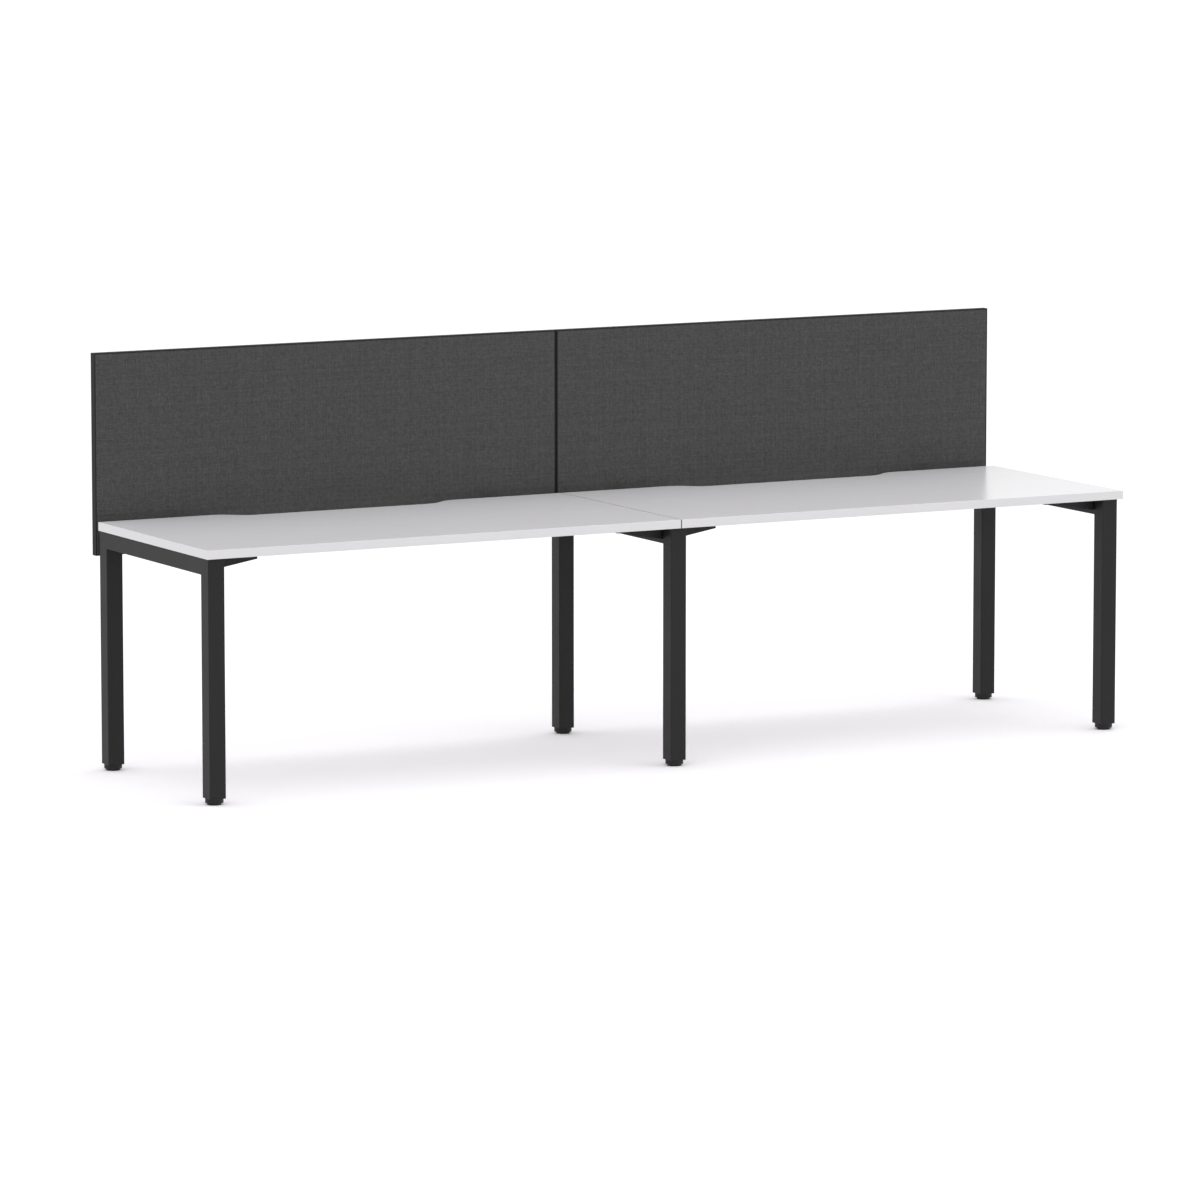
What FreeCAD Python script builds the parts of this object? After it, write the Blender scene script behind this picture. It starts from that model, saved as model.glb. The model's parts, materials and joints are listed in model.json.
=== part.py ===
"""Two-person workstation desk: two worktops in a row on three tube frames, with fabric screens behind.

Millimetres, +Z up. +X runs along the desk, to the right for a person sitting at it, and +Y points from
the sitter to the screens. The origin is on the floor, in the middle of the length and of the depth.
"""
import FreeCAD, Part
import math
import os
import Sketcher

# Driving dimensions: name, value and what it measures
SIZES = (
    ("run_length", 3000.0, "both worktops, end to end"),
    ("top_joint", 1.5, "gap between the two worktops"),
    ("top_depth", 740.0, "worktop, front edge to rear edge"),
    ("top_thick", 25.0, "worktop board"),
    ("top_height", 720.0, "floor to the worktop's upper face"),
    ("edging_thick", 2.0, "edge strip round each worktop"),
    ("edging_round", 1.0, "rounded arris of the edge strip"),
    ("scallop_width", 800.0, "cable scallop, along the rear edge"),
    ("scallop_floor", 540.0, "straight floor of the scallop"),
    ("scallop_depth", 55.0, "rear edge to the scallop's floor"),
    ("tube_width", 50.0, "square tube of legs and rails"),
    ("tube_wall", 2.0, "wall of legs, rails and beams"),
    ("tube_corner", 2.5, "outer corner radius of the tubes"),
    ("frame_end_inset", 10.0, "worktop's end to the end frame's outer face"),
    ("frame_setback", 16.0, "worktop's front edge to the front legs"),
    ("frame_overhang", 16.0, "rear legs, out past the worktop's rear edge"),
    ("foot_diameter", 52.0, "levelling foot"),
    ("foot_height", 18.0, "floor to the foot's upper face"),
    ("foot_round", 4.0, "rounded lower rim of the foot"),
    ("socket_depth", 12.0, "socket in the foot for its stud"),
    ("stud_diameter", 10.0, "threaded stud of the foot"),
    ("stud_reach", 45.0, "stud above the foot"),
    ("stud_point", 1.0, "chamfered end of the stud"),
    ("thread_gap", 0.05, "radial gap round studs and bolts"),
    ("insert_flange", 2.0, "rim of the leg insert, under the tube"),
    ("insert_plug", 25.0, "insert inside the tube"),
    ("insert_gap", 0.1, "insert to the tube's inner wall"),
    ("wing_length", 125.0, "wing from the rail to its tip"),
    ("wing_root", 36.5, "height of the wing at the rail"),
    ("wing_tip", 15.5, "height of the wing at its tip"),
    ("wing_flange", 40.0, "flanges of the wing, along the depth"),
    ("wing_gap", 1.0, "leg to the wing's web"),
    ("sheet_thick", 3.0, "folded sheet of wings, brackets and angles"),
    ("bend_radius", 4.0, "outside of a fold"),
    ("wing_bolt_in", 13.0, "wing's web to its first bolt"),
    ("wing_bolt_drop", 20.0, "underside of the top to the wing's bolts"),
    ("wing_bolt_pitch", 18.0, "first bolt to the second, along the depth"),
    ("wing_screw_in", 20.0, "wing's web to its wood screws"),
    ("wing_screw_start", 40.0, "rail to the first wood screw"),
    ("wing_screw_pitch", 60.0, "first wood screw to the second"),
    ("beam_depth", 40.0, "tie beam, along the depth"),
    ("beam_height", 50.0, "tie beam, upright"),
    ("plate_thick", 5.0, "end plate of the beam"),
    ("plate_depth", 120.0, "end plate, along the depth"),
    ("plate_bolt_pitch", 90.0, "front bolt to rear bolt"),
    ("plate_corner", 5.0, "rounded corners of the end plate"),
    ("screen_gap", 32.0, "worktop's rear edge to the screens' front"),
    ("screen_thick", 25.0, "screen"),
    ("screen_top", 1202.0, "floor to the screens' upper edge"),
    ("screen_bottom", 618.0, "floor to the screens' lower edge"),
    ("screen_end_inset", 6.0, "worktop's end to the screen's end"),
    ("screen_joint", 4.0, "gap between the two screens"),
    ("fabric_thick", 2.0, "fabric with its padding, each face"),
    ("trim_thick", 2.0, "crown of the screen's edge trim"),
    ("trim_round", 0.8, "rounded arris of the trim's crown"),
    ("tongue_thick", 3.0, "tongue of the trim"),
    ("tongue_depth", 10.0, "tongue of the trim, into the core"),
    ("tongue_gap", 0.1, "tongue to its groove"),
    ("bracket_width", 46.0, "bracket on the rear leg"),
    ("bracket_height", 60.0, "bracket, upright"),
    ("bracket_drop", 8.0, "underside of the top to the bracket"),
    ("bracket_flange", 42.0, "bracket along the screen"),
    ("bracket_bolt_pitch", 36.0, "upper bolt to lower bolt"),
    ("angle_width", 60.0, "screen angle, along the length"),
    ("angle_grip", 40.0, "screen angle under the worktop"),
    ("angle_drop", 50.0, "screen angle down the screen"),
    ("angle_inset", 230.0, "worktop's end to the angle's middle"),
    ("angle_screw_pitch", 36.0, "screw to screw in an angle"),
    ("bolt_diameter", 6.0, "bolts"),
    ("bolt_hole_gap", 0.3, "bolt to the hole in plate or sheet, radial"),
    ("bolt_flats", 10.0, "bolt's hexagon, across flats"),
    ("bolt_head", 4.0, "height of the bolt's head"),
    ("bolt_length", 14.0, "bolt under its head"),
    ("screw_diameter", 4.0, "wood screws"),
    ("screw_hole_gap", 0.3, "screw to the hole in the sheet, radial"),
    ("screw_flats", 7.0, "screw's hexagon, across flats"),
    ("screw_head", 2.8, "height of the screw's head"),
    ("screw_length", 16.0, "screw under its head"),
)

# Places worked out from the driving dimensions: name and formula
PLACES = (
    ("front_edge_y", "-(Sizes.top_depth + Sizes.screen_gap + Sizes.screen_thick) / 2"),
    ("rear_edge_y", "Places.front_edge_y + Sizes.top_depth"),
    ("underside_z", "Sizes.top_height - Sizes.top_thick"),
    ("top_length", "(Sizes.run_length - Sizes.top_joint) / 2"),
    ("top_centre_x", "(Places.top_length + Sizes.top_joint) / 2"),
    ("angle_offset_x", "Places.top_length / 2 - Sizes.angle_inset"),
    ("ogee_radius", "(((Sizes.scallop_width - Sizes.scallop_floor) / 2) ^ 2 + Sizes.scallop_depth ^ 2)"
                    " / (4 * Sizes.scallop_depth)"),
    ("frame_front_y", "Places.front_edge_y + Sizes.frame_setback"),
    ("frame_rear_y", "Places.rear_edge_y + Sizes.frame_overhang"),
    ("frame_depth", "Places.frame_rear_y - Places.frame_front_y"),
    ("frame_mid_y", "(Places.frame_front_y + Places.frame_rear_y) / 2"),
    ("end_frame_x", "Sizes.run_length / 2 - Sizes.frame_end_inset - Sizes.tube_width / 2"),
    ("tube_half", "Sizes.tube_width / 2"),
    ("bore_half", "Sizes.tube_width / 2 - Sizes.tube_wall"),
    ("leg_bottom_z", "Sizes.foot_height + Sizes.insert_flange"),
    ("leg_length", "Places.underside_z - Places.leg_bottom_z"),
    ("wing_front_y", "Places.frame_front_y + Sizes.tube_width + Sizes.wing_gap"),
    ("wing_rear_y", "Places.frame_rear_y - Sizes.tube_width - Sizes.wing_gap"),
    ("bay_length", "Places.end_frame_x - Sizes.tube_width"),
    ("beam_length", "Places.bay_length - 2 * Sizes.plate_thick"),
    ("bay_centre_x", "Places.end_frame_x / 2"),
    ("screen_front_y", "Places.rear_edge_y + Sizes.screen_gap"),
    ("screen_mid_y", "Places.screen_front_y + Sizes.screen_thick / 2"),
    ("screen_length", "Sizes.run_length / 2 - Sizes.screen_end_inset - Sizes.screen_joint / 2"),
    ("screen_height", "Sizes.screen_top - Sizes.screen_bottom"),
    ("screen_centre_x", "(Places.screen_length + Sizes.screen_joint) / 2"),
    ("screen_mid_z", "(Sizes.screen_top + Sizes.screen_bottom) / 2"),
    ("core_length", "Places.screen_length - 2 * Sizes.trim_thick"),
    ("core_height", "Places.screen_height - 2 * Sizes.trim_thick"),
    ("core_thick", "Sizes.screen_thick - 2 * Sizes.fabric_thick"),
    ("bracket_reach", "Places.screen_front_y - Places.frame_rear_y"),
    ("bracket_mid_z", "Places.underside_z - Sizes.bracket_drop - Sizes.bracket_height / 2"),
    ("bracket_screw_x", "(Sizes.bracket_width + Sizes.bracket_flange) / 2"),
    ("bolt_hole", "Sizes.bolt_diameter / 2 + Sizes.bolt_hole_gap"),
    ("tapped_hole", "Sizes.bolt_diameter / 2 + Sizes.thread_gap"),
    ("screw_hole", "Sizes.screw_diameter / 2 + Sizes.screw_hole_gap"),
)

X_AXIS = FreeCAD.Vector(1, 0, 0)
Y_AXIS = FreeCAD.Vector(0, 1, 0)
Z_AXIS = FreeCAD.Vector(0, 0, 1)
UPRIGHT = FreeCAD.Rotation()

doc = FreeCAD.newDocument("TwoPersonDesk")
sub_parts = []


# Spreadsheets and small helpers

def write_sheet(name, rows):
    """Makes a sheet with a name in column A and an aliased cell in column B."""
    sheet = doc.addObject("Spreadsheet::Sheet", name)
    for number, (alias, content) in enumerate(rows, start=1):
        sheet.set(f"A{number}", alias)
        sheet.set(f"B{number}", content)
        sheet.setAlias(f"B{number}", alias)
    doc.recompute()
    return sheet


sizes = write_sheet("Sizes", [(name, str(size)) for name, size, meaning in SIZES])
places = write_sheet("Places", [(name, "=" + formula) for name, formula in PLACES])


def value(formula):
    """The number that a formula over the two sheets gives."""
    return float(places.evalExpression(formula))


def new_body(label):
    """A sub-part that is built up from sketches."""
    body = doc.addObject("PartDesign::Body", label)
    body.Label = label
    return body


def hand_in(piece, x="0", y="0", z="0", turn=UPRIGHT):
    """Puts a finished sub-part in its place and lists it for writing."""
    move(piece, x, y, z, turn)
    sub_parts.append(piece)
    return piece


def move(piece, x, y, z, turn=UPRIGHT):
    """Turns a piece and binds its place to the sheets."""
    piece.Placement = FreeCAD.Placement(FreeCAD.Vector(), turn)
    for axis, formula in (("x", x), ("y", y), ("z", z)):
        piece.setExpression(f".Placement.Base.{axis}", formula)


def new_sketch(body, plane):
    """An empty sketch on one of the body's own origin planes."""
    support = [datum for datum in body.Origin.OriginFeatures if datum.Role == plane + "_Plane"]
    sketch = body.newObject("Sketcher::SketchObject", f"{body.Name}_outline")
    sketch.AttachmentSupport = [(support[0], "")]
    sketch.MapMode = "FlatFace"
    return sketch


def bind(sketch, kind, *place, formula):
    """Adds a dimension to a sketch and ties it to the sheets."""
    number = sketch.addConstraint(Sketcher.Constraint(kind, *place, value(formula)))
    sketch.setExpression(f"Constraints[{number}]", formula)


def polygon(sketch, corners):
    """Closed straight-sided outline; each corner is a pair of formulas."""
    first = sketch.GeometryCount
    count = len(corners)
    points = [FreeCAD.Vector(value(x), value(y), 0) for x, y in corners]
    for number in range(count):
        sketch.addGeometry(Part.LineSegment(points[number], points[(number + 1) % count]))
    for number, (x, y) in enumerate(corners):
        here = first + number
        after = first + (number + 1) % count
        sketch.addConstraint(Sketcher.Constraint("Coincident", here, 2, after, 1))
        bind(sketch, "DistanceX", here, 1, formula=x)
        bind(sketch, "DistanceY", here, 1, formula=y)


def rectangle(sketch, low_x, low_y, high_x, high_y):
    """Upright rectangle between two corners."""
    polygon(sketch, [(low_x, low_y), (high_x, low_y), (high_x, high_y), (low_x, high_y)])


def square(sketch, half):
    """Square about the sketch's origin."""
    rectangle(sketch, f"-({half})", f"-({half})", half, half)


def circle(sketch, x, y, radius):
    """Circle with its centre and radius tied to the sheets."""
    centre = FreeCAD.Vector(value(x), value(y), 0)
    number = sketch.addGeometry(Part.Circle(centre, Z_AXIS, value(radius)))
    bind(sketch, "DistanceX", number, 3, formula=x)
    bind(sketch, "DistanceY", number, 3, formula=y)
    bind(sketch, "Radius", number, formula=radius)


def hexagon(sketch, across_flats):
    """Hexagon about the sketch's origin, with two corners on its X axis."""
    corner = f"{across_flats} / sqrt(3)"
    half = f"{across_flats} / 2"
    polygon(sketch, [(corner, "0"), (f"{corner} / 2", half), (f"-{corner} / 2", half),
                     (f"-{corner}", "0"), (f"-{corner} / 2", f"-{half}"), (f"{corner} / 2", f"-{half}")])


def pad(sketch, length, reverse=False, both_ways=False):
    """Adds material along the sketch's normal."""
    feature = sketch.getParentGeoFeatureGroup().newObject("PartDesign::Pad", "Pad")
    feature.Profile = sketch
    feature.setExpression("Length", length)
    feature.Reversed = reverse
    if both_ways:
        feature.SideType = "Symmetric"
    doc.recompute()
    return feature


def pocket(sketch, length=None, reverse=False, both_ways=False):
    """Cuts into the body from the sketch, right through unless a length is given."""
    body = sketch.getParentGeoFeatureGroup()
    before = body.Shape.Volume
    feature = body.newObject("PartDesign::Pocket", "Pocket")
    feature.Profile = sketch
    if length is None:
        feature.Type = "ThroughAll"
    else:
        feature.setExpression("Length", length)
    feature.Reversed = reverse
    if both_ways:
        feature.SideType = "Symmetric"
    doc.recompute()
    if not body.Shape.Volume < before:
        raise RuntimeError(f"{body.Label}: a cut took nothing away")
    return feature


def revolve(sketch):
    """Turns an outline in the XZ plane about the upright axis."""
    feature = sketch.getParentGeoFeatureGroup().newObject("PartDesign::Revolution", "Revolution")
    feature.Profile = sketch
    feature.ReferenceAxis = (sketch, ["V_Axis"])
    doc.recompute()
    return feature


def round_edges(body, radius, wanted):
    """Fillets the edges of the body's last feature that the test picks."""
    base = body.Tip
    names = [f"Edge{number}" for number, edge in enumerate(base.Shape.Edges, start=1) if wanted(edge)]
    if not names:
        raise RuntimeError(f"{body.Label}: no edge to round")
    feature = body.newObject("PartDesign::Fillet", "Fillet")
    feature.Base = (base, names)
    feature.setExpression("Radius", radius)
    doc.recompute()
    return feature


def same(first, second):
    """Two lengths that are the same on this model."""
    return math.isclose(first, second, abs_tol=1e-4)


def along(edge, axis):
    """Whether an edge is straight and runs along an axis."""
    ends = edge.Vertexes
    if len(ends) != 2:
        return False
    run = ends[1].Point - ends[0].Point
    return same(run.Length, edge.Length) and same(abs(run.dot(axis)), run.Length)


def group(label, piece, seats):
    """One sub-part made of separate equal pieces, each at its own seat."""
    copies = []
    for x, y, z, turn in seats:
        copy = doc.addObject("App::Link", f"{label}_copy")
        copy.LinkedObject = piece
        move(copy, x, y, z, turn)
        copies.append(copy)
    compound = doc.addObject("Part::Compound", label)
    compound.Label = label
    compound.Links = copies
    sub_parts.append(compound)
    return compound


# Worktops

def top_outline(sketch, inset):
    """Worktop seen from above, front edge at y = 0, drawn smaller all round by the inset.

    Each end of the cable scallop is an ogee: a convex arc off the rear edge and a concave arc into the
    straight floor, tangent to each other and to both edges.
    """
    half = value(f"Places.top_length / 2 - {inset}")
    front = value(inset)
    rear = value(f"Sizes.top_depth - {inset}")
    floor = value(f"Sizes.top_depth - Sizes.scallop_depth - {inset}")
    shoulder_x = value("Sizes.scallop_width / 2")
    floor_x = value("Sizes.scallop_floor / 2")
    convex = value(f"Places.ogee_radius - {inset}")
    concave = value(f"Places.ogee_radius + {inset}")
    sweep = math.acos(1 - value("Sizes.scallop_depth / (2 * Places.ogee_radius)"))
    quarter = math.pi / 2

    def arc(x, y, radius, start, end):
        return Part.ArcOfCircle(Part.Circle(FreeCAD.Vector(x, y, 0), Z_AXIS, radius), start, end)

    def line(start, end):
        return Part.LineSegment(FreeCAD.Vector(*start, 0), FreeCAD.Vector(*end, 0))

    (front_line, right_line, rear_right, convex_right, concave_right, floor_line, concave_left,
     convex_left, rear_left, left_line) = sketch.addGeometry([
         line((-half, front), (half, front)),
         line((half, front), (half, rear)),
         line((half, rear), (shoulder_x, rear)),
         arc(shoulder_x, rear - convex, convex, quarter, quarter + sweep),
         arc(floor_x, floor + concave, concave, 3 * quarter, 3 * quarter + sweep),
         line((floor_x, floor), (-floor_x, floor)),
         arc(-floor_x, floor + concave, concave, 3 * quarter - sweep, 3 * quarter),
         arc(-shoulder_x, rear - convex, convex, quarter - sweep, quarter),
         line((-shoulder_x, rear), (-half, rear)),
         line((-half, rear), (-half, front)),
     ])
    start, end = 1, 2
    for first, second in ((front_line, right_line), (right_line, rear_right), (rear_left, left_line),
                          (left_line, front_line)):
        sketch.addConstraint(Sketcher.Constraint("Coincident", first, end, second, start))
    for first, place, second, other in (
            (rear_right, end, convex_right, start), (convex_right, end, concave_right, end),
            (concave_right, start, floor_line, start), (floor_line, end, concave_left, end),
            (concave_left, start, convex_left, start), (convex_left, end, rear_left, start)):
        sketch.addConstraint(Sketcher.Constraint("Tangent", first, place, second, other))
    for level in (front_line, rear_right, floor_line, rear_left):
        sketch.addConstraint(Sketcher.Constraint("Horizontal", level))
    for upright in (right_line, left_line):
        sketch.addConstraint(Sketcher.Constraint("Vertical", upright))
    bind(sketch, "DistanceX", front_line, start, formula=f"-(Places.top_length / 2 - {inset})")
    bind(sketch, "DistanceY", front_line, start, formula=inset)
    bind(sketch, "DistanceX", front_line, end, formula=f"Places.top_length / 2 - {inset}")
    bind(sketch, "DistanceY", rear_right, start, formula=f"Sizes.top_depth - {inset}")
    bind(sketch, "DistanceY", rear_left, end, formula=f"Sizes.top_depth - {inset}")
    bind(sketch, "DistanceX", convex_right, 3, formula="Sizes.scallop_width / 2")
    bind(sketch, "DistanceX", convex_left, 3, formula="-Sizes.scallop_width / 2")
    bind(sketch, "DistanceX", concave_right, 3, formula="Sizes.scallop_floor / 2")
    bind(sketch, "DistanceX", concave_left, 3, formula="-Sizes.scallop_floor / 2")
    bind(sketch, "Radius", convex_right, formula=f"Places.ogee_radius - {inset}")
    bind(sketch, "Radius", concave_right, formula=f"Places.ogee_radius + {inset}")
    bind(sketch, "Radius", convex_left, formula=f"Places.ogee_radius - {inset}")


def worktop(side, centre_x):
    """Melamine-faced board and the strip glued round its edge."""
    board = new_body(f"{side}_top")
    sketch = new_sketch(board, "XY")
    top_outline(sketch, "Sizes.edging_thick")
    pad(sketch, "Sizes.top_thick")
    hand_in(board, centre_x, "Places.front_edge_y", "Places.underside_z")

    edging = new_body(f"{side}_top_edging")
    sketch = new_sketch(edging, "XY")
    top_outline(sketch, "0")
    pad(sketch, "Sizes.top_thick")
    thick = value("Sizes.top_thick")
    round_edges(edging, "Sizes.edging_round",
                lambda edge: same(edge.BoundBox.ZMin, edge.BoundBox.ZMax)
                and (same(edge.BoundBox.ZMin, 0) or same(edge.BoundBox.ZMin, thick)))
    sketch = new_sketch(edging, "XY")
    top_outline(sketch, "Sizes.edging_thick")
    pocket(sketch, reverse=True)
    hand_in(edging, centre_x, "Places.front_edge_y", "Places.underside_z")


# Leg frames

def tube(label, plane, length, both_ways=False):
    """Square tube with rounded corners, padded from one of its origin planes."""
    body = new_body(label)
    sketch = new_sketch(body, plane)
    square(sketch, "Places.tube_half")
    square(sketch, "Places.bore_half")
    pad(sketch, length, both_ways=both_ways)
    half = value("Places.tube_half")
    run = {"XY": Z_AXIS, "XZ": Y_AXIS}[plane]

    def on_corner(edge):
        """Long edges on the outer corners of the section."""
        reach = edge.CenterOfMass - run * edge.CenterOfMass.dot(run)
        return along(edge, run) and same(reach.Length, math.sqrt(2) * half)

    round_edges(body, "Sizes.tube_corner", on_corner)
    return body


def leg(label, frame_x, front):
    """Upright tube of a frame, mitred at the top, outer side uppermost."""
    body = tube(label, "XY", "Places.leg_length")
    outer = "-Places.tube_half" if front else "Places.tube_half"
    inner = "Places.tube_half" if front else "-Places.tube_half"
    sketch = new_sketch(body, "YZ")
    polygon(sketch, [(outer, "Places.leg_length"), (inner, "Places.leg_length"),
                     (inner, "Places.leg_length - Sizes.tube_width")])
    pocket(sketch, both_ways=True)
    if not front:
        sketch = new_sketch(body, "XZ")
        for sign in ("+", "-"):
            height = f"Places.bracket_mid_z - Places.leg_bottom_z {sign} Sizes.bracket_bolt_pitch / 2"
            circle(sketch, "0", height, "Places.tapped_hole")
        pocket(sketch, reverse=False)
    leg_y = "Places.frame_front_y + Places.tube_half" if front else "Places.frame_rear_y - Places.tube_half"
    hand_in(body, frame_x, leg_y, "Places.leg_bottom_z")


def rail(label, frame_x, sides):
    """Upper tube of a frame, mitred at both ends and drilled on the sides that face a bay."""
    body = tube(label, "XZ", "Places.frame_depth", both_ways=True)
    sketch = new_sketch(body, "YZ")
    for sign in ("-", ""):
        outer = f"{sign}Places.frame_depth / 2"
        inner = f"{sign}(Places.frame_depth / 2 - Sizes.tube_width)"
        polygon(sketch, [(outer, "Places.tube_half"), (outer, "-Places.tube_half"),
                         (inner, "-Places.tube_half")])
    pocket(sketch, both_ways=True)
    for side in sides:
        sketch = new_sketch(body, "YZ")
        for y, z in bolt_places():
            circle(sketch, f"{y} - Places.frame_mid_y", f"{z} - Places.underside_z + Places.tube_half",
                   "Places.tapped_hole")
        pocket(sketch, reverse=side > 0)
    hand_in(body, frame_x, "Places.frame_mid_y", "Places.underside_z - Places.tube_half")


WING_BOLT_RUNS = ("Sizes.wing_bolt_in", "Sizes.wing_bolt_in + Sizes.wing_bolt_pitch")
WING_SCREW_RUNS = ("Sizes.wing_screw_start", "Sizes.wing_screw_start + Sizes.wing_screw_pitch")


def wing_bolt_places():
    """Depth and height of the wing bolts on one side of a rail."""
    height = "Places.underside_z - Sizes.wing_bolt_drop"
    return [(f"{web} ({run})", height) for web in ("Places.wing_front_y +", "Places.wing_rear_y -")
            for run in WING_BOLT_RUNS]


def plate_bolt_places():
    """Depth and height of the bolts of one beam plate."""
    height = "Places.underside_z - Sizes.beam_height / 2"
    return [(f"Places.frame_mid_y {sign} Sizes.plate_bolt_pitch / 2", height) for sign in ("-", "+")]


def bolt_places():
    """Depth and height of every bolt on one side of a rail."""
    return wing_bolt_places() + plate_bolt_places()


# Wings

def wing(label, rail_x, side, front):
    """Tapered arm folded from sheet: upright web, top flange under the board, end flange on the rail."""
    hand = side if front else -side
    sign = "" if hand > 0 else "-"
    backwards = hand < 0
    body = new_body(label)
    sketch = new_sketch(body, "YZ")
    polygon(sketch, [("0", "0"), ("Sizes.wing_flange", "0"), ("Sizes.wing_flange", "-Sizes.sheet_thick"),
                     ("Sizes.sheet_thick", "-Sizes.sheet_thick"), ("Sizes.sheet_thick", "-Sizes.wing_root"),
                     ("0", "-Sizes.wing_root")])
    pad(sketch, "Sizes.wing_length", reverse=backwards)
    sketch = new_sketch(body, "XZ")
    polygon(sketch, [("0", "-Sizes.wing_root"), (f"{sign}Sizes.wing_length", "-Sizes.wing_root"),
                     (f"{sign}Sizes.wing_length", "-Sizes.wing_tip")])
    pocket(sketch, both_ways=True)
    sketch = new_sketch(body, "YZ")
    rectangle(sketch, "0", "-Sizes.wing_root", "Sizes.wing_flange", "0")
    pad(sketch, "Sizes.sheet_thick", reverse=backwards)
    root = value("Sizes.wing_root")
    thick = value("Sizes.sheet_thick")

    def on_fold(edge):
        """Outer folds: web to top flange, and web to end flange."""
        middle = edge.CenterOfMass
        top_fold = along(edge, X_AXIS) and same(middle.y, 0) and same(middle.z, 0)
        end_fold = along(edge, Z_AXIS) and same(middle.y, 0) and same(middle.x, 0) and edge.Length > root / 2
        return top_fold or end_fold

    round_edges(body, "Sizes.bend_radius", on_fold)
    sketch = new_sketch(body, "YZ")
    for run in WING_BOLT_RUNS:
        circle(sketch, run, "-Sizes.wing_bolt_drop", "Places.bolt_hole")
    pocket(sketch, "Sizes.sheet_thick", reverse=not backwards)
    sketch = new_sketch(body, "XY")
    for run in WING_SCREW_RUNS:
        circle(sketch, f"{sign}({run})", "Sizes.wing_screw_in", "Places.screw_hole")
    pocket(sketch, "Sizes.sheet_thick")
    face_x = f"{rail_x} + Places.tube_half" if side > 0 else f"{rail_x} - Places.tube_half"
    web_y = "Places.wing_front_y" if front else "Places.wing_rear_y"
    half_turn = UPRIGHT if front else FreeCAD.Rotation(Z_AXIS, 180)
    hand_in(body, face_x, web_y, "Places.underside_z", half_turn)


# Tie beams

def off_axis(edge, distance):
    """Whether an edge lies at a distance from the beam's own axis."""
    return same(math.hypot(edge.CenterOfMass.y, edge.CenterOfMass.z), distance)


def beam(label, centre_x):
    """Box tube between the end plates of one bay."""
    body = new_body(label)
    sketch = new_sketch(body, "YZ")
    rectangle(sketch, "-Sizes.beam_depth / 2", "-Sizes.beam_height / 2",
              "Sizes.beam_depth / 2", "Sizes.beam_height / 2")
    rectangle(sketch, "-Sizes.beam_depth / 2 + Sizes.tube_wall", "-Sizes.beam_height / 2 + Sizes.tube_wall",
              "Sizes.beam_depth / 2 - Sizes.tube_wall", "Sizes.beam_height / 2 - Sizes.tube_wall")
    pad(sketch, "Places.beam_length", both_ways=True)
    corner = math.hypot(value("Sizes.beam_depth / 2"), value("Sizes.beam_height / 2"))
    round_edges(body, "Sizes.tube_corner", lambda edge: along(edge, X_AXIS) and off_axis(edge, corner))
    hand_in(body, centre_x, "Places.frame_mid_y", "Places.underside_z - Sizes.beam_height / 2")


def beam_plates(bays):
    """Flat plates welded to the beams' ends, each with a bolt in front and one behind."""
    plate = new_body("beam_plate")
    sketch = new_sketch(plate, "YZ")
    rectangle(sketch, "-Sizes.plate_depth / 2", "-Sizes.beam_height / 2",
              "Sizes.plate_depth / 2", "Sizes.beam_height / 2")
    for sign in ("-", ""):
        circle(sketch, f"{sign}Sizes.plate_bolt_pitch / 2", "0", "Places.bolt_hole")
    pad(sketch, "Sizes.plate_thick", both_ways=True)
    corner = math.hypot(value("Sizes.plate_depth / 2"), value("Sizes.beam_height / 2"))
    round_edges(plate, "Sizes.plate_corner", lambda edge: along(edge, X_AXIS) and off_axis(edge, corner))
    height = "Places.underside_z - Sizes.beam_height / 2"
    offset = "(Places.bay_length - Sizes.plate_thick) / 2"
    seats = [(f"{centre} {sign} {offset}", "Places.frame_mid_y", height, UPRIGHT)
             for centre in bays for sign in ("-", "+")]
    group("beam_end_plates", plate, seats)


# Levelling feet

def foot(label, leg_x, leg_y):
    """Moulded foot with a rounded lower rim, and the threaded stud that stands in its socket."""
    radius = "Sizes.foot_diameter / 2"
    body = new_body(f"{label}_foot")
    sketch = new_sketch(body, "XZ")
    socket = "Sizes.stud_diameter / 2 + Sizes.thread_gap"
    floor = "Sizes.foot_height - Sizes.socket_depth"
    polygon(sketch, [("0", "0"), (radius, "0"), (radius, "Sizes.foot_height"), (socket, "Sizes.foot_height"),
                     (socket, floor), ("0", floor)])
    revolve(sketch)
    rim = value(radius)
    round_edges(body, "Sizes.foot_round",
                lambda edge: same(edge.BoundBox.ZMax, 0) and same(edge.BoundBox.XMax, rim))
    hand_in(body, leg_x, leg_y, "0")

    stud = new_body(f"{label}_foot_stud")
    sketch = new_sketch(stud, "XZ")
    thread = "Sizes.stud_diameter / 2"
    length = "Sizes.socket_depth + Sizes.stud_reach"
    polygon(sketch, [("0", "0"), (thread, "0"), (thread, f"{length} - Sizes.stud_point"),
                     (f"{thread} - Sizes.stud_point", length), ("0", length)])
    revolve(sketch)
    hand_in(stud, leg_x, leg_y, floor)


def leg_inserts(seats):
    """Plugs pushed into the legs, with a rim under the tube and a threaded bore for the stud."""
    insert = new_body("leg_insert")
    sketch = new_sketch(insert, "XY")
    square(sketch, "Places.tube_half")
    pad(sketch, "Sizes.insert_flange", reverse=True)
    round_edges(insert, "Sizes.tube_corner", lambda edge: along(edge, Z_AXIS))
    sketch = new_sketch(insert, "XY")
    square(sketch, "Places.bore_half - Sizes.insert_gap")
    pad(sketch, "Sizes.insert_plug")
    sketch = new_sketch(insert, "XY")
    circle(sketch, "0", "0", "Sizes.stud_diameter / 2 + Sizes.thread_gap")
    pocket(sketch, both_ways=True)
    group("leg_inserts", insert, [(x, y, "Places.leg_bottom_z", UPRIGHT) for x, y in seats])


# Screens

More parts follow.
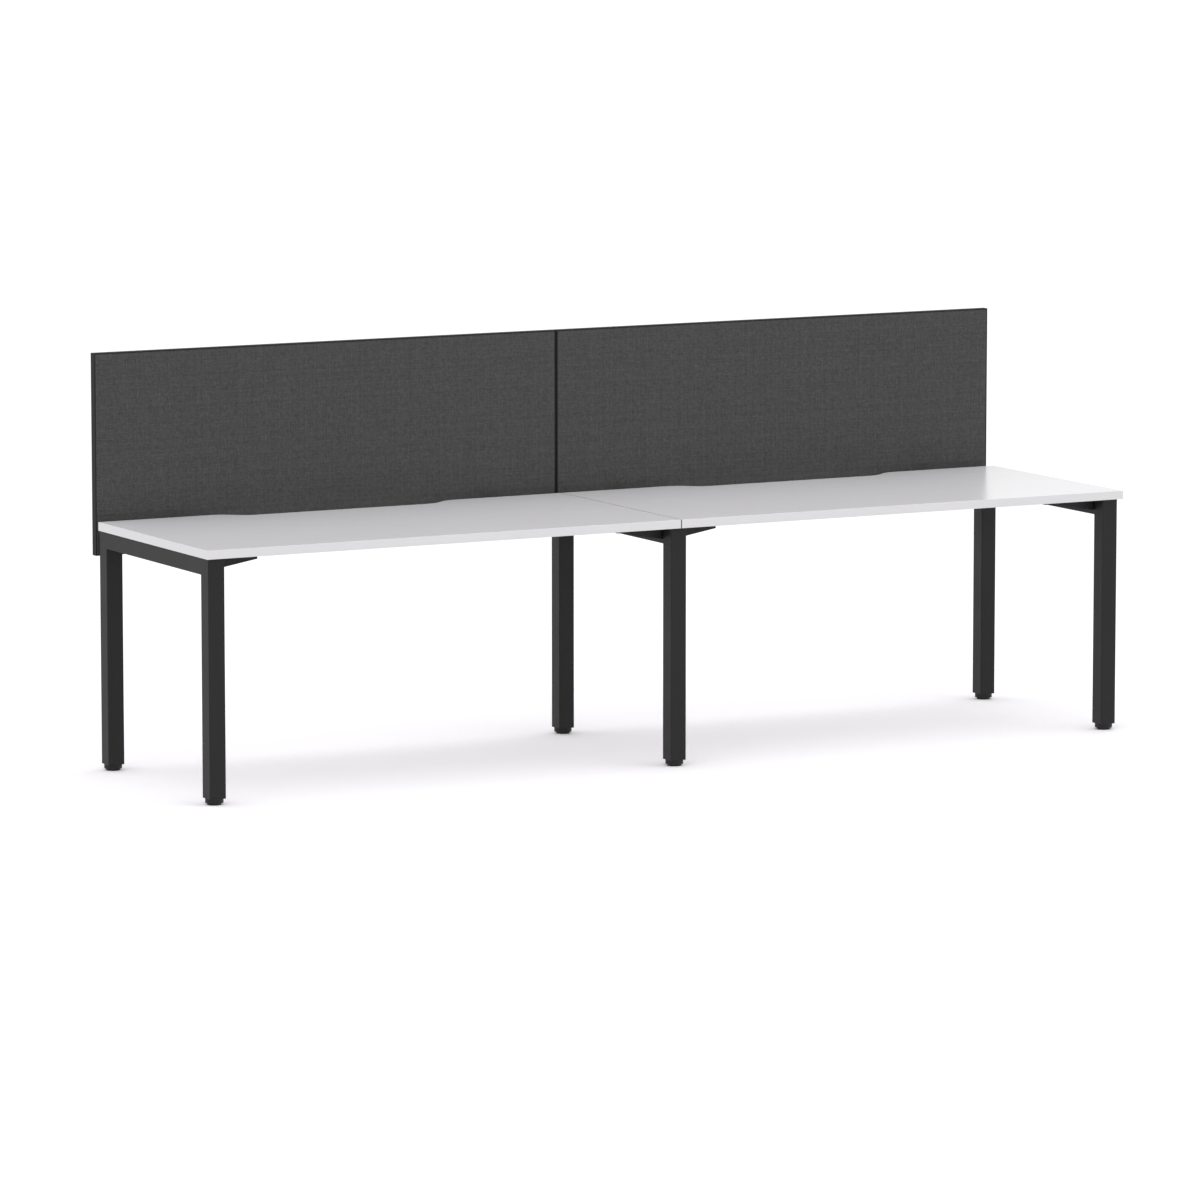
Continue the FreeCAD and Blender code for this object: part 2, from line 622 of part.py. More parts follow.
def screen(side, centre_x):
    """Grooved core board, a fabric face on each side and a trim along each edge."""
    core = new_body(f"{side}_screen_core")
    sketch = new_sketch(core, "XZ")
    rectangle(sketch, "-Places.core_length / 2", "-Places.core_height / 2",
              "Places.core_length / 2", "Places.core_height / 2")
    pad(sketch, "Places.core_thick", both_ways=True)
    groove = "(Sizes.tongue_depth + Sizes.tongue_gap)"
    sketch = new_sketch(core, "XZ")
    rectangle(sketch, "-Places.core_length / 2", "-Places.core_height / 2",
              "Places.core_length / 2", "Places.core_height / 2")
    rectangle(sketch, f"-(Places.core_length / 2 - {groove})", f"-(Places.core_height / 2 - {groove})",
              f"Places.core_length / 2 - {groove}", f"Places.core_height / 2 - {groove}")
    pocket(sketch, "Sizes.tongue_thick + 2 * Sizes.tongue_gap", both_ways=True)
    hand_in(core, centre_x, "Places.screen_mid_y", "Places.screen_mid_z")

    for face, face_y in (("front", "Places.screen_front_y"),
                         ("rear", "Places.screen_front_y + Sizes.screen_thick - Sizes.fabric_thick")):
        fabric = doc.addObject("Part::Box", f"{side}_screen_{face}_fabric")
        fabric.Label = f"{side}_screen_{face}_fabric"
        fabric.setExpression("Length", "Places.core_length")
        fabric.setExpression("Width", "Sizes.fabric_thick")
        fabric.setExpression("Height", "Places.core_height")
        hand_in(fabric, f"{centre_x} - Places.core_length / 2", face_y,
                "Places.screen_mid_z - Places.core_height / 2")

    half_length = "Places.screen_length / 2"
    level = "Places.screen_mid_z"
    trim(f"{side}_screen_top_trim", "Places.screen_length", centre_x, "Sizes.screen_top", 0)
    trim(f"{side}_screen_bottom_trim", "Places.screen_length", centre_x, "Sizes.screen_bottom", 180)
    trim(f"{side}_screen_right_trim", "Places.screen_height", f"{centre_x} + {half_length}", level, 90)
    trim(f"{side}_screen_left_trim", "Places.screen_height", f"{centre_x} - {half_length}", level, -90)


def trim(label, length, x, z, turn):
    """T-shaped edge trim with mitred ends; its crown covers the edge and its tongue sits in the groove."""
    body = new_body(label)
    crown = "Sizes.screen_thick / 2"
    tongue = "Sizes.tongue_thick / 2"
    depth = "Sizes.trim_thick + Sizes.tongue_depth"
    sketch = new_sketch(body, "YZ")
    polygon(sketch, [(f"-{crown}", "0"), (crown, "0"), (crown, "-Sizes.trim_thick"),
                     (tongue, "-Sizes.trim_thick"), (tongue, f"-({depth})"), (f"-{tongue}", f"-({depth})"),
                     (f"-{tongue}", "-Sizes.trim_thick"), (f"-{crown}", "-Sizes.trim_thick")])
    pad(sketch, length, both_ways=True)
    round_edges(body, "Sizes.trim_round",
                lambda edge: along(edge, X_AXIS) and same(edge.CenterOfMass.z, 0))
    sketch = new_sketch(body, "XZ")
    for sign in ("-", ""):
        outer = f"{sign}{length} / 2"
        inner = f"{sign}({length} / 2 - ({depth}))"
        polygon(sketch, [(outer, "0"), (outer, f"-({depth})"), (inner, f"-({depth})")])
    pocket(sketch, both_ways=True)
    hand_in(body, x, "Places.screen_mid_y", z, FreeCAD.Rotation(Y_AXIS, turn))


# Screen fixings

def screen_bracket(label, frame_x, sides):
    """Folded bracket from the rear leg's rear face to the screen on each side that it serves."""
    half = "Sizes.bracket_width / 2"
    far = "Sizes.bracket_width / 2 + Sizes.bracket_flange"
    thick = "Sizes.sheet_thick"
    reach = "Places.bracket_reach"
    rear_side, leg_side = [], []
    for side in (1, -1):
        sign = "" if side > 0 else "-"
        if side in sides:
            outer = [(f"{sign}({half})", "0"), (f"{sign}({half})", f"{reach} - {thick}"),
                     (f"{sign}({far})", f"{reach} - {thick}"), (f"{sign}({far})", reach)]
            inner = [(f"{sign}({half} - {thick})", reach), (f"{sign}({half} - {thick})", thick)]
        else:
            outer = [(f"{sign}({half})", "0"), (f"{sign}({half})", thick)]
            inner = []
        (rear_side if side > 0 else leg_side).extend(outer + inner)
    body = new_body(label)
    sketch = new_sketch(body, "XY")
    polygon(sketch, rear_side + leg_side[::-1])
    pad(sketch, "Sizes.bracket_height", both_ways=True)
    folds = [(side * value(half), 0) for side in sides]
    folds += [(side * value(f"{half} - {thick}"), value(reach)) for side in sides]

    def on_fold(edge):
        """Outer folds, at the leg and at the screen."""
        middle = edge.CenterOfMass
        return along(edge, Z_AXIS) and any(same(middle.x, x) and same(middle.y, y) for x, y in folds)

    round_edges(body, "Sizes.bend_radius", on_fold)
    sketch = new_sketch(body, "XZ")
    for sign in ("-", ""):
        circle(sketch, "0", f"{sign}Sizes.bracket_bolt_pitch / 2", "Places.bolt_hole")
        for side in sides:
            circle(sketch, f"{side} * Places.bracket_screw_x", f"{sign}Sizes.bracket_bolt_pitch / 2",
                   "Places.screw_hole")
    pocket(sketch, both_ways=True)
    hand_in(body, frame_x, "Places.frame_rear_y", "Places.bracket_mid_z")


def screen_angles(seats):
    """Steel angles: one leg under the worktop, the other down the face of the screen."""
    angle = new_body("screen_angle")
    thick = "Sizes.sheet_thick"
    sketch = new_sketch(angle, "YZ")
    polygon(sketch, [("-Sizes.angle_grip", "0"), ("Sizes.screen_gap", "0"),
                     ("Sizes.screen_gap", "-Sizes.angle_drop"),
                     (f"Sizes.screen_gap - {thick}", "-Sizes.angle_drop"),
                     (f"Sizes.screen_gap - {thick}", f"-{thick}"), ("-Sizes.angle_grip", f"-{thick}")])
    pad(sketch, "Sizes.angle_width", both_ways=True)
    gap = value("Sizes.screen_gap")
    round_edges(angle, "Sizes.bend_radius",
                lambda edge: along(edge, X_AXIS) and same(edge.CenterOfMass.y, gap)
                and same(edge.CenterOfMass.z, 0))
    for plane, level in (("XY", "-Sizes.angle_grip / 2"),
                         ("XZ", "-(Sizes.angle_drop + Sizes.sheet_thick) / 2")):
        sketch = new_sketch(angle, plane)
        for sign in ("-", ""):
            circle(sketch, f"{sign}Sizes.angle_screw_pitch / 2", level, "Places.screw_hole")
        pocket(sketch, both_ways=True)
    group("screen_angles", angle, [(x, "Places.rear_edge_y", "Places.underside_z", UPRIGHT) for x in seats])


# Fasteners

def hex_fastener(label, flats, head, diameter, length):
    """Hexagon head on a plain shank: the seat is at z = 0 and the shank points down."""
    body = new_body(label)
    sketch = new_sketch(body, "XY")
    hexagon(sketch, flats)
    pad(sketch, head)
    sketch = new_sketch(body, "XY")
    circle(sketch, "0", "0", f"{diameter} / 2")
    pad(sketch, length, reverse=True)
    return body


def frame_bolts(frames):
    """Bolts through wings, beam plates and screen brackets into the tapped tube walls."""
    bolt = hex_fastener("bolt", "Sizes.bolt_flats", "Sizes.bolt_head", "Sizes.bolt_diameter",
                        "Sizes.bolt_length")
    seats = []
    for frame_x, sides in frames:
        for side in sides:
            sign = "+" if side > 0 else "-"
            turn = FreeCAD.Rotation(Y_AXIS, 90 * side)
            face = f"{frame_x} {sign} (Places.tube_half + "
            seats += [(f"{face}Sizes.sheet_thick)", y, z, turn) for y, z in wing_bolt_places()]
            seats += [(f"{face}Sizes.plate_thick)", y, z, turn) for y, z in plate_bolt_places()]
        for sign in ("-", "+"):
            height = f"Places.bracket_mid_z {sign} Sizes.bracket_bolt_pitch / 2"
            seats.append((frame_x, "Places.frame_rear_y + Sizes.sheet_thick", height,
                          FreeCAD.Rotation(X_AXIS, -90)))
    group("frame_bolts", bolt, seats)


def wood_screws(frames, angle_seats):
    """Screws up into the worktops and back into the screens' cores."""
    screw = hex_fastener("wood_screw", "Sizes.screw_flats", "Sizes.screw_head", "Sizes.screw_diameter",
                         "Sizes.screw_length")
    upwards = FreeCAD.Rotation(X_AXIS, 180)
    backwards = FreeCAD.Rotation(X_AXIS, 90)
    under_sheet = "Places.underside_z - Sizes.sheet_thick"
    before_sheet = "Places.screen_front_y - Sizes.sheet_thick"
    seats = []
    for frame_x, sides in frames:
        for side in sides:
            sign = "+" if side > 0 else "-"
            for run in WING_SCREW_RUNS:
                x = f"{frame_x} {sign} (Places.tube_half + {run})"
                seats.append((x, "Places.wing_front_y + Sizes.wing_screw_in", under_sheet, upwards))
                seats.append((x, "Places.wing_rear_y - Sizes.wing_screw_in", under_sheet, upwards))
            for step in ("-", "+"):
                height = f"Places.bracket_mid_z {step} Sizes.bracket_bolt_pitch / 2"
                seats.append((f"{frame_x} {sign} Places.bracket_screw_x", before_sheet, height, backwards))
    drop = "Places.underside_z - (Sizes.angle_drop + Sizes.sheet_thick) / 2"
    for angle_x in angle_seats:
        for step in ("-", "+"):
            x = f"{angle_x} {step} Sizes.angle_screw_pitch / 2"
            seats.append((x, "Places.rear_edge_y - Sizes.angle_grip / 2", under_sheet, upwards))
            seats.append((x, before_sheet, drop, backwards))
    group("wood_screws", screw, seats)


# The desk, put together from the floor up

FRAMES = (
    ("left", "-Places.end_frame_x", (1,)),
    ("middle", "0", (-1, 1)),
    ("right", "Places.end_frame_x", (-1,)),
)
BAYS = (("left", "-"), ("right", ""))
LEG_ROWS = (
    ("front", "Places.frame_front_y + Places.tube_half"),
    ("rear", "Places.frame_rear_y - Places.tube_half"),
)

for frame_name, frame_x, sides in FRAMES:
    for row, leg_y in LEG_ROWS:
        foot(f"{frame_name}_{row}", frame_x, leg_y)
        leg(f"{frame_name}_{row}_leg", frame_x, row == "front")
    rail(f"{frame_name}_rail", frame_x, sides)
    screen_bracket(f"{frame_name}_screen_bracket", frame_x, sides)
    for side in sides:
        hand_name = {1: "right", -1: "left"}[side] if len(sides) > 1 else ""
        for row, leg_y in LEG_ROWS:
            name = "_".join(word for word in (frame_name, row, hand_name, "wing") if word)
            wing(name, frame_x, side, row == "front")
leg_inserts([(frame_x, leg_y) for frame_name, frame_x, sides in FRAMES for row, leg_y in LEG_ROWS])

for bay_name, sign in BAYS:
    beam(f"{bay_name}_beam", f"{sign}Places.bay_centre_x")
    worktop(bay_name, f"{sign}Places.top_centre_x")
    screen(bay_name, f"{sign}Places.screen_centre_x")
beam_plates([f"{sign}Places.bay_centre_x" for bay_name, sign in BAYS])

angle_seats = [f"{sign}Places.top_centre_x {step} Places.angle_offset_x"
               for bay_name, sign in BAYS for step in ("-", "+")]
screen_angles(angle_seats)
frame_bolts([(frame_x, sides) for frame_name, frame_x, sides in FRAMES])
wood_screws([(frame_x, sides) for frame_name, frame_x, sides in FRAMES], angle_seats)


# Check and write

doc.recompute()
for item in doc.Objects:
    if {"Invalid", "Error"} & set(item.State):
        raise RuntimeError(f"{item.Label} failed: {item.State}")
for piece in sub_parts:
    if piece.Shape.isNull() or not piece.Shape.isValid():
        raise RuntimeError(f"{piece.Label} has no valid shape")
os.makedirs("parts", exist_ok=True)
for piece in sub_parts:
    piece.Shape.exportStep(os.path.join("parts", f"{piece.Label}.step"))
print(len(sub_parts), "sub-parts written")
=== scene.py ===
"""Two-person workstation desk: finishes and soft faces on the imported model, and the light it is seen in.

Metres, +Z up, in the model's own frame: +X along the desk, +Y from the sitter to the screens.
"""
import json
import math

import bmesh
import bpy
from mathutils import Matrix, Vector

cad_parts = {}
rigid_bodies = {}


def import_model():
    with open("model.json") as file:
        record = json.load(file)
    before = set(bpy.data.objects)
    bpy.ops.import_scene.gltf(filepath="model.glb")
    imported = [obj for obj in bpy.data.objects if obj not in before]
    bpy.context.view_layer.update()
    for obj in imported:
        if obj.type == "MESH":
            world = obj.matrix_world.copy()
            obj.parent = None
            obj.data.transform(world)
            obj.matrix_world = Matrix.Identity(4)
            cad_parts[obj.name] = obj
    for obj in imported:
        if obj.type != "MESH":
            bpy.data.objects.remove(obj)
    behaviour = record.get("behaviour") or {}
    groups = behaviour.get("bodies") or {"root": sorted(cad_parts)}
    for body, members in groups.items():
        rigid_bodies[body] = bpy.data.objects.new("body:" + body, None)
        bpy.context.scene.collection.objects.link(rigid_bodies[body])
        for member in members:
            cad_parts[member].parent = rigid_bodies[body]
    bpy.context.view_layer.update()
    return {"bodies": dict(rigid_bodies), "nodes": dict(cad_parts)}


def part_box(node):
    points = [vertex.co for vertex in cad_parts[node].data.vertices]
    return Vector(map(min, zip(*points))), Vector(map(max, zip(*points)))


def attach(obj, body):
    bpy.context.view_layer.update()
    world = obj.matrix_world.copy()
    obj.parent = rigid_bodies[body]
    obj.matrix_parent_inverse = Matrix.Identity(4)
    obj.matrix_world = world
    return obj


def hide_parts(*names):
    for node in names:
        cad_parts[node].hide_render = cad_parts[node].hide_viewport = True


for leftover in list(bpy.data.objects):
    bpy.data.objects.remove(leftover)
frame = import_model()

# Levelling feet: six black nylon discs on smaller soles, moulded with a fine sparked skin and turned by
# hand on their studs. They stand on the floor, so dust gathers low down.
FRAME_NAMES = ("left", "middle", "right")
LEG_ROWS = ("front", "rear")
CORNERS = [f"{frame_name}_{row}" for frame_name in FRAME_NAMES for row in LEG_ROWS]
FOOT_SIDES = 64
SOLE_RADIUS = 0.020
SOLE_HEIGHT = 0.0054
SOLE_ROUND = 0.0012
LIP_ROUND = 0.0008
ROUND_STEPS = 4
FOOT_ARRIS = 0.0006
SOCKET_GAP = 0.00005
SHARP_ANGLE = math.radians(38)
NYLON_BLACK = (0.011, 0.011, 0.012)
NYLON_DUSTY = (0.085, 0.082, 0.078)
NYLON_ROUGHNESS = (0.38, 0.56)
SPARKED_DEPTH = 0.00006


def add(tree, kind, values=None, **settings):
    """One node, with its settings and the values of its own sockets."""
    made = tree.nodes.new(kind)
    for name, setting in settings.items():
        setattr(made, name, setting)
    for socket, number in (values or {}).items():
        made.inputs[socket].default_value = number
    return made


def wire(tree, *pairs):
    """Joins each output to its input."""
    for source, target in pairs:
        tree.links.new(source, target)


def finish_named(name, **surface):
    """A material with one Principled shader, and that shader's plain sockets."""
    material = bpy.data.materials.new(name)
    material.use_nodes = True
    shader = material.node_tree.nodes["Principled BSDF"]
    for socket, number in surface.items():
        shader.inputs[socket.replace("_", " ")].default_value = number
    return material, material.node_tree, shader


def effect(name, inputs, outputs):
    """A node group with named sockets, ready to be filled."""
    tree = bpy.data.node_groups.new(name, "ShaderNodeTree")
    for socket, number in inputs.items():
        made = tree.interface.new_socket(name=socket, in_out="INPUT", socket_type="NodeSocketFloat")
        made.default_value = number
    for socket in outputs:
        tree.interface.new_socket(name=socket, in_out="OUTPUT", socket_type="NodeSocketFloat")
    return tree, tree.nodes.new("NodeGroupInput").outputs, tree.nodes.new("NodeGroupOutput").inputs


def use(tree, group, values):
    """Places an effect in a material, with that material's own values."""
    return add(tree, "ShaderNodeGroup", values, node_tree=group)


def between(tree, low, high, source):
    """A value that runs from low to high as the source runs from 0 to 1."""
    made = add(tree, "ShaderNodeMapRange", {"To Min": low, "To Max": high})
    wire(tree, (source, made.inputs["Value"]))
    return made.outputs["Result"]


def tint(tree, first, second, source):
    """A colour that runs from the first to the second with the source."""
    made = add(tree, "ShaderNodeMix", data_type="RGBA")
    colours = [socket for socket in made.inputs if socket.type == "RGBA"]
    colours[0].default_value = (*first, 1)
    colours[1].default_value = (*second, 1)
    wire(tree, (source, made.inputs["Factor"]))
    return [socket for socket in made.outputs if socket.type == "RGBA"][0]


def relief(tree, shader, height, depth):
    """Raises the surface by a height map, to a depth in metres."""
    made = add(tree, "ShaderNodeBump", {"Strength": 1.0, "Distance": depth})
    wire(tree, (height, made.inputs["Height"]), (made.outputs["Normal"], shader.inputs["Normal"]))


def fine_skin():
    """Grain of a moulded or sprayed skin, and broad soft patches in its gloss."""
    tree, given, result = effect("fine_skin", {"Grains per metre": 1500, "Patches per metre": 9},
                                 ("Height", "Patches"))
    place = add(tree, "ShaderNodeTexCoord")
    grain = add(tree, "ShaderNodeTexNoise", {"Detail": 2.0, "Roughness": 0.55})
    patch = add(tree, "ShaderNodeTexNoise", {"Detail": 4.0, "Roughness": 0.6})
    wire(tree, (place.outputs["Object"], grain.inputs["Vector"]),
         (place.outputs["Object"], patch.inputs["Vector"]),
         (given["Grains per metre"], grain.inputs["Scale"]),
         (given["Patches per metre"], patch.inputs["Scale"]),
         (grain.outputs["Fac"], result["Height"]), (patch.outputs["Fac"], result["Patches"]))
    return tree


def floor_dust():
    """Dust that thins out upwards from the floor, broken up by noise."""
    tree, given, result = effect("floor_dust", {"Reach": 0.1, "Amount": 1.0}, ("Mask",))
    place = add(tree, "ShaderNodeTexCoord")
    axes = add(tree, "ShaderNodeSeparateXYZ")
    height = add(tree, "ShaderNodeMath", operation="DIVIDE")
    fade = add(tree, "ShaderNodeMath", {0: 1.0}, operation="SUBTRACT", use_clamp=True)
    soft = add(tree, "ShaderNodeMath", {1: 2.0}, operation="POWER")
    speck = add(tree, "ShaderNodeTexNoise", {"Scale": 130.0, "Detail": 5.0, "Roughness": 0.65})
    part = add(tree, "ShaderNodeMapRange", {"From Min": 0.42, "From Max": 0.68})
    broken = add(tree, "ShaderNodeMath", operation="MULTIPLY")
    amount = add(tree, "ShaderNodeMath", operation="MULTIPLY", use_clamp=True)
    wire(tree, (place.outputs["Object"], axes.inputs["Vector"]),
         (axes.outputs["Z"], height.inputs[0]), (given["Reach"], height.inputs[1]),
         (height.outputs["Value"], fade.inputs[1]), (fade.outputs["Value"], soft.inputs[0]),
         (place.outputs["Object"], speck.inputs["Vector"]), (speck.outputs["Fac"], part.inputs["Value"]),
         (part.outputs["Result"], broken.inputs[0]), (soft.outputs["Value"], broken.inputs[1]),
         (broken.outputs["Value"], amount.inputs[0]), (given["Amount"], amount.inputs[1]),
         (amount.outputs["Value"], result["Mask"]))
    return tree


FINE_SKIN = fine_skin()
FLOOR_DUST = floor_dust()


def moulded_nylon():
    """Black nylon with a sparked grain, paler where it is dusty."""
    material, tree, shader = finish_named("moulded_nylon", Specular_IOR_Level=0.3)
    skin = use(tree, FINE_SKIN, {"Grains per metre": 1800.0, "Patches per metre": 40.0})
    dust = use(tree, FLOOR_DUST, {"Reach": 0.016, "Amount": 0.4})
    colour = tint(tree, NYLON_BLACK, NYLON_DUSTY, dust.outputs["Mask"])
    wire(tree, (colour, shader.inputs["Base Color"]),
         (between(tree, *NYLON_ROUGHNESS, skin.outputs["Patches"]), shader.inputs["Roughness"]))
    relief(tree, shader, skin.outputs["Height"], SPARKED_DEPTH)
    return material


def join_columns(mesh, columns):
    """Faces from column to column of points, all the way round, and a cap at each end."""
    for first, second in zip(columns, columns[1:] + columns[:1]):
        for step in range(len(first) - 1):
            mesh.faces.new((first[step], second[step], second[step + 1], first[step + 1]))
    mesh.faces.new([column[0] for column in columns])
    mesh.faces.new([column[-1] for column in columns])


def to_object(mesh, name):
    """Makes a finished mesh an object of the scene, shaded smooth but for its sharp edges."""
    data = bpy.data.meshes.new(name)
    mesh.to_mesh(data)
    mesh.free()
    data.shade_smooth()
    data.set_sharp_from_angle(angle=SHARP_ANGLE)
    made = bpy.data.objects.new(name, data)
    bpy.context.scene.collection.objects.link(made)
    return made


def round_axis(middle, reach, angle, z):
    """A place at a reach and an angle from the upright axis through the middle."""
    return middle.x + reach * math.cos(angle), middle.y + reach * math.sin(angle), z


def quarter_round(reach, z, radius):
    """Points of an outline that turns from level to upright at its reach."""
    turns = [math.pi / 2 * step / ROUND_STEPS for step in range(ROUND_STEPS + 1)]
    return [(reach - radius * (1 - math.sin(turn)), z + radius * (1 - math.cos(turn))) for turn in turns]


def moulded_foot(name, low, high, stud_low, stud_high):
    """Closed round foot between two corners of its box, with a sole below and a blind socket above."""
    middle = (low + high) / 2
    radius = (high.x - low.x) / 2
    socket = (stud_high.x - stud_low.x) / 2 + SOCKET_GAP
    lip = low.z + SOLE_HEIGHT
    outline = quarter_round(SOLE_RADIUS, low.z, SOLE_ROUND) + [(SOLE_RADIUS, lip)]
    outline += quarter_round(radius, lip, LIP_ROUND) + [(radius, high.z - FOOT_ARRIS)]
    outline += [(radius - FOOT_ARRIS, high.z), (socket, high.z), (socket, stud_low.z)]
    mesh = bmesh.new()
    columns = []
    for side in range(FOOT_SIDES):
        angle = 2 * math.pi * side / FOOT_SIDES
        columns.append([mesh.verts.new(round_axis(middle, reach, angle, z)) for reach, z in outline])
    join_columns(mesh, columns)
    bmesh.ops.recalc_face_normals(mesh, faces=mesh.faces)
    return to_object(mesh, name)


NYLON = moulded_nylon()
for corner in CORNERS:
    node = f"{corner}_foot"
    foot = moulded_foot(f"{corner}_moulded_foot", *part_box(node), *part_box(f"{node}_stud"))
    foot.data.materials.append(NYLON)
    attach(foot, f"{corner}_leveller")
    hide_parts(node)

# Foot studs: M10 steel studs, thread rolled and zinc plated, set fast in the feet. They show when a foot
# is screwed down out of its leg, so the thread is a true helix.
STUD_PITCH = 0.0015
STUD_THREAD_DEPTH = 0.00092
STUD_SIDES = 24
STEPS_PER_TURN = 4
STUD_POINT = 0.0012
ZINC_DULL = (0.50, 0.51, 0.53)
ZINC_BRIGHT = (0.70, 0.70, 0.68)
ZINC_ROUGHNESS = (0.24, 0.46)
PLATED_DEPTH = 0.00001


def zinc_plate():
    """Bright zinc with a cloudy passivated bloom."""
    material, tree, shader = finish_named("zinc_plate", Metallic=1.0)
    skin = use(tree, FINE_SKIN, {"Grains per metre": 2600.0, "Patches per metre": 160.0})
    colour = tint(tree, ZINC_DULL, ZINC_BRIGHT, skin.outputs["Patches"])
    wire(tree, (colour, shader.inputs["Base Color"]),
         (between(tree, *ZINC_ROUGHNESS, skin.outputs["Patches"]), shader.inputs["Roughness"]))
    relief(tree, shader, skin.outputs["Height"], PLATED_DEPTH)
    return material


def threaded_stud(name, low, high):
    """Closed stud between two corners of its box, with a helical thread and a chamfered point."""
    radius = (high.x - low.x) / 2
    middle = (low + high) / 2
    steps = round((high.z - low.z) / STUD_PITCH * STEPS_PER_TURN)
    mesh = bmesh.new()
    columns = []
    for side in range(STUD_SIDES):
        turn = side / STUD_SIDES
        column = []
        for step in range(steps + 1):
            z = low.z + (high.z - low.z) * step / steps
            phase = (z - low.z) / STUD_PITCH - turn
            groove = abs(2 * (phase - math.floor(phase)) - 1)
            reach = radius - STUD_THREAD_DEPTH * groove
            reach = min(reach, radius - STUD_POINT + (high.z - z))
            column.append(mesh.verts.new(round_axis(middle, reach, 2 * math.pi * turn, z)))
        columns.append(column)
    join_columns(mesh, columns)
    bmesh.ops.recalc_face_normals(mesh, faces=mesh.faces)
    return to_object(mesh, name)


ZINC = zinc_plate()
for corner in CORNERS:
    node = f"{corner}_foot_stud"
    stud = threaded_stud(f"{corner}_threaded_stud", *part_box(node))
    stud.data.materials.append(ZINC)
    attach(stud, f"{corner}_leveller")
    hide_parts(node)

# Leg inserts: square nylon plugs pushed up into the tubes, of which only a thin rim shows between leg
# and foot. They are moulded in the same black nylon as the feet.
def dress(material, *nodes):
    """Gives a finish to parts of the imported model."""
    for node in nodes:
        for held in frame["nodes"][node].material_slots:
            held.material = material


dress(NYLON, "leg_inserts")

# Leg frames: square steel tube, mitred, welded, ground flush and powder coated in satin black. The coat
# keeps a faint orange peel, and the lower ends of the legs hold a little dust.
COAT_BLACK = (0.0085, 0.0085, 0.009)
COAT_DUSTY = (0.060, 0.058, 0.055)
COAT_ROUGHNESS = (0.49, 0.61)
COAT_RUBBED = 0.10
COAT_PEEL = 0.00005


def rub_marks():
    """Fine straight rubs in a few places, as cleaning and handling leave."""
    tree, given, result = effect("rub_marks", {"Marks per metre": 700}, ("Mask",))
    place = add(tree, "ShaderNodeTexCoord")
    turned = add(tree, "ShaderNodeMapping", {"Rotation": (0.35, 0.2, 0.5), "Scale": (0.03, 1.0, 1.0)})
    stroke = add(tree, "ShaderNodeTexNoise", {"Detail": 1.0})
    thin = add(tree, "ShaderNodeMapRange", {"From Min": 0.66, "From Max": 0.74})
    where = add(tree, "ShaderNodeTexNoise", {"Scale": 5.0, "Detail": 2.0})
    few = add(tree, "ShaderNodeMapRange", {"From Min": 0.48, "From Max": 0.66})
    both = add(tree, "ShaderNodeMath", operation="MULTIPLY")
    wire(tree, (place.outputs["Object"], turned.inputs["Vector"]),
         (turned.outputs["Vector"], stroke.inputs["Vector"]),
         (given["Marks per metre"], stroke.inputs["Scale"]), (stroke.outputs["Fac"], thin.inputs["Value"]),
         (place.outputs["Object"], where.inputs["Vector"]), (where.outputs["Fac"], few.inputs["Value"]),
         (thin.outputs["Result"], both.inputs[0]), (few.outputs["Result"], both.inputs[1]),
         (both.outputs["Value"], result["Mask"]))
    return tree


RUB_MARKS = rub_marks()


def powder_coat():
    """Satin black powder coat."""
    material, tree, shader = finish_named("powder_coat", Specular_IOR_Level=0.32)
    skin = use(tree, FINE_SKIN, {"Grains per metre": 700.0, "Patches per metre": 6.0})
    dust = use(tree, FLOOR_DUST, {"Reach": 0.16, "Amount": 0.16})
    rubs = use(tree, RUB_MARKS, {"Marks per metre": 650.0})
    colour = tint(tree, COAT_BLACK, COAT_DUSTY, dust.outputs["Mask"])
    rough = between(tree, *COAT_ROUGHNESS, skin.outputs["Patches"])
    worn = add(tree, "ShaderNodeMath", {1: COAT_RUBBED}, operation="MULTIPLY_ADD")
    wire(tree, (rubs.outputs["Mask"], worn.inputs[0]), (rough, worn.inputs[2]),
         (colour, shader.inputs["Base Color"]), (worn.outputs["Value"], shader.inputs["Roughness"]))
    relief(tree, shader, skin.outputs["Height"], COAT_PEEL)
    return material


COAT = powder_coat()
dress(COAT, *[f"{corner}_leg" for corner in CORNERS])
dress(COAT, *[f"{frame_name}_rail" for frame_name in FRAME_NAMES])

# Wings, tie beams and their end plates: folded sheet and box tube in the same black coat. They are
# bolted to the rails and hold the worktops up from below.
WINGS = [node for node in frame["nodes"] if node.endswith("_wing")]
dress(COAT, *WINGS)
dress(COAT, "left_beam", "right_beam", "beam_end_plates")

# Worktops: particle board faced on both sides with off-white melamine, pressed with a fine pearl grain.
# Wiping leaves faint streaks along the length, which show only in the gloss.
SIDES = ("left", "right")
MELAMINE_SHADE = (0.778, 0.764, 0.788)
MELAMINE_LIGHT = (0.802, 0.790, 0.810)
MELAMINE_ROUGHNESS = (0.22, 0.27)
MELAMINE_RUBBED = 0.015
PEARL_DEPTH = 0.000012


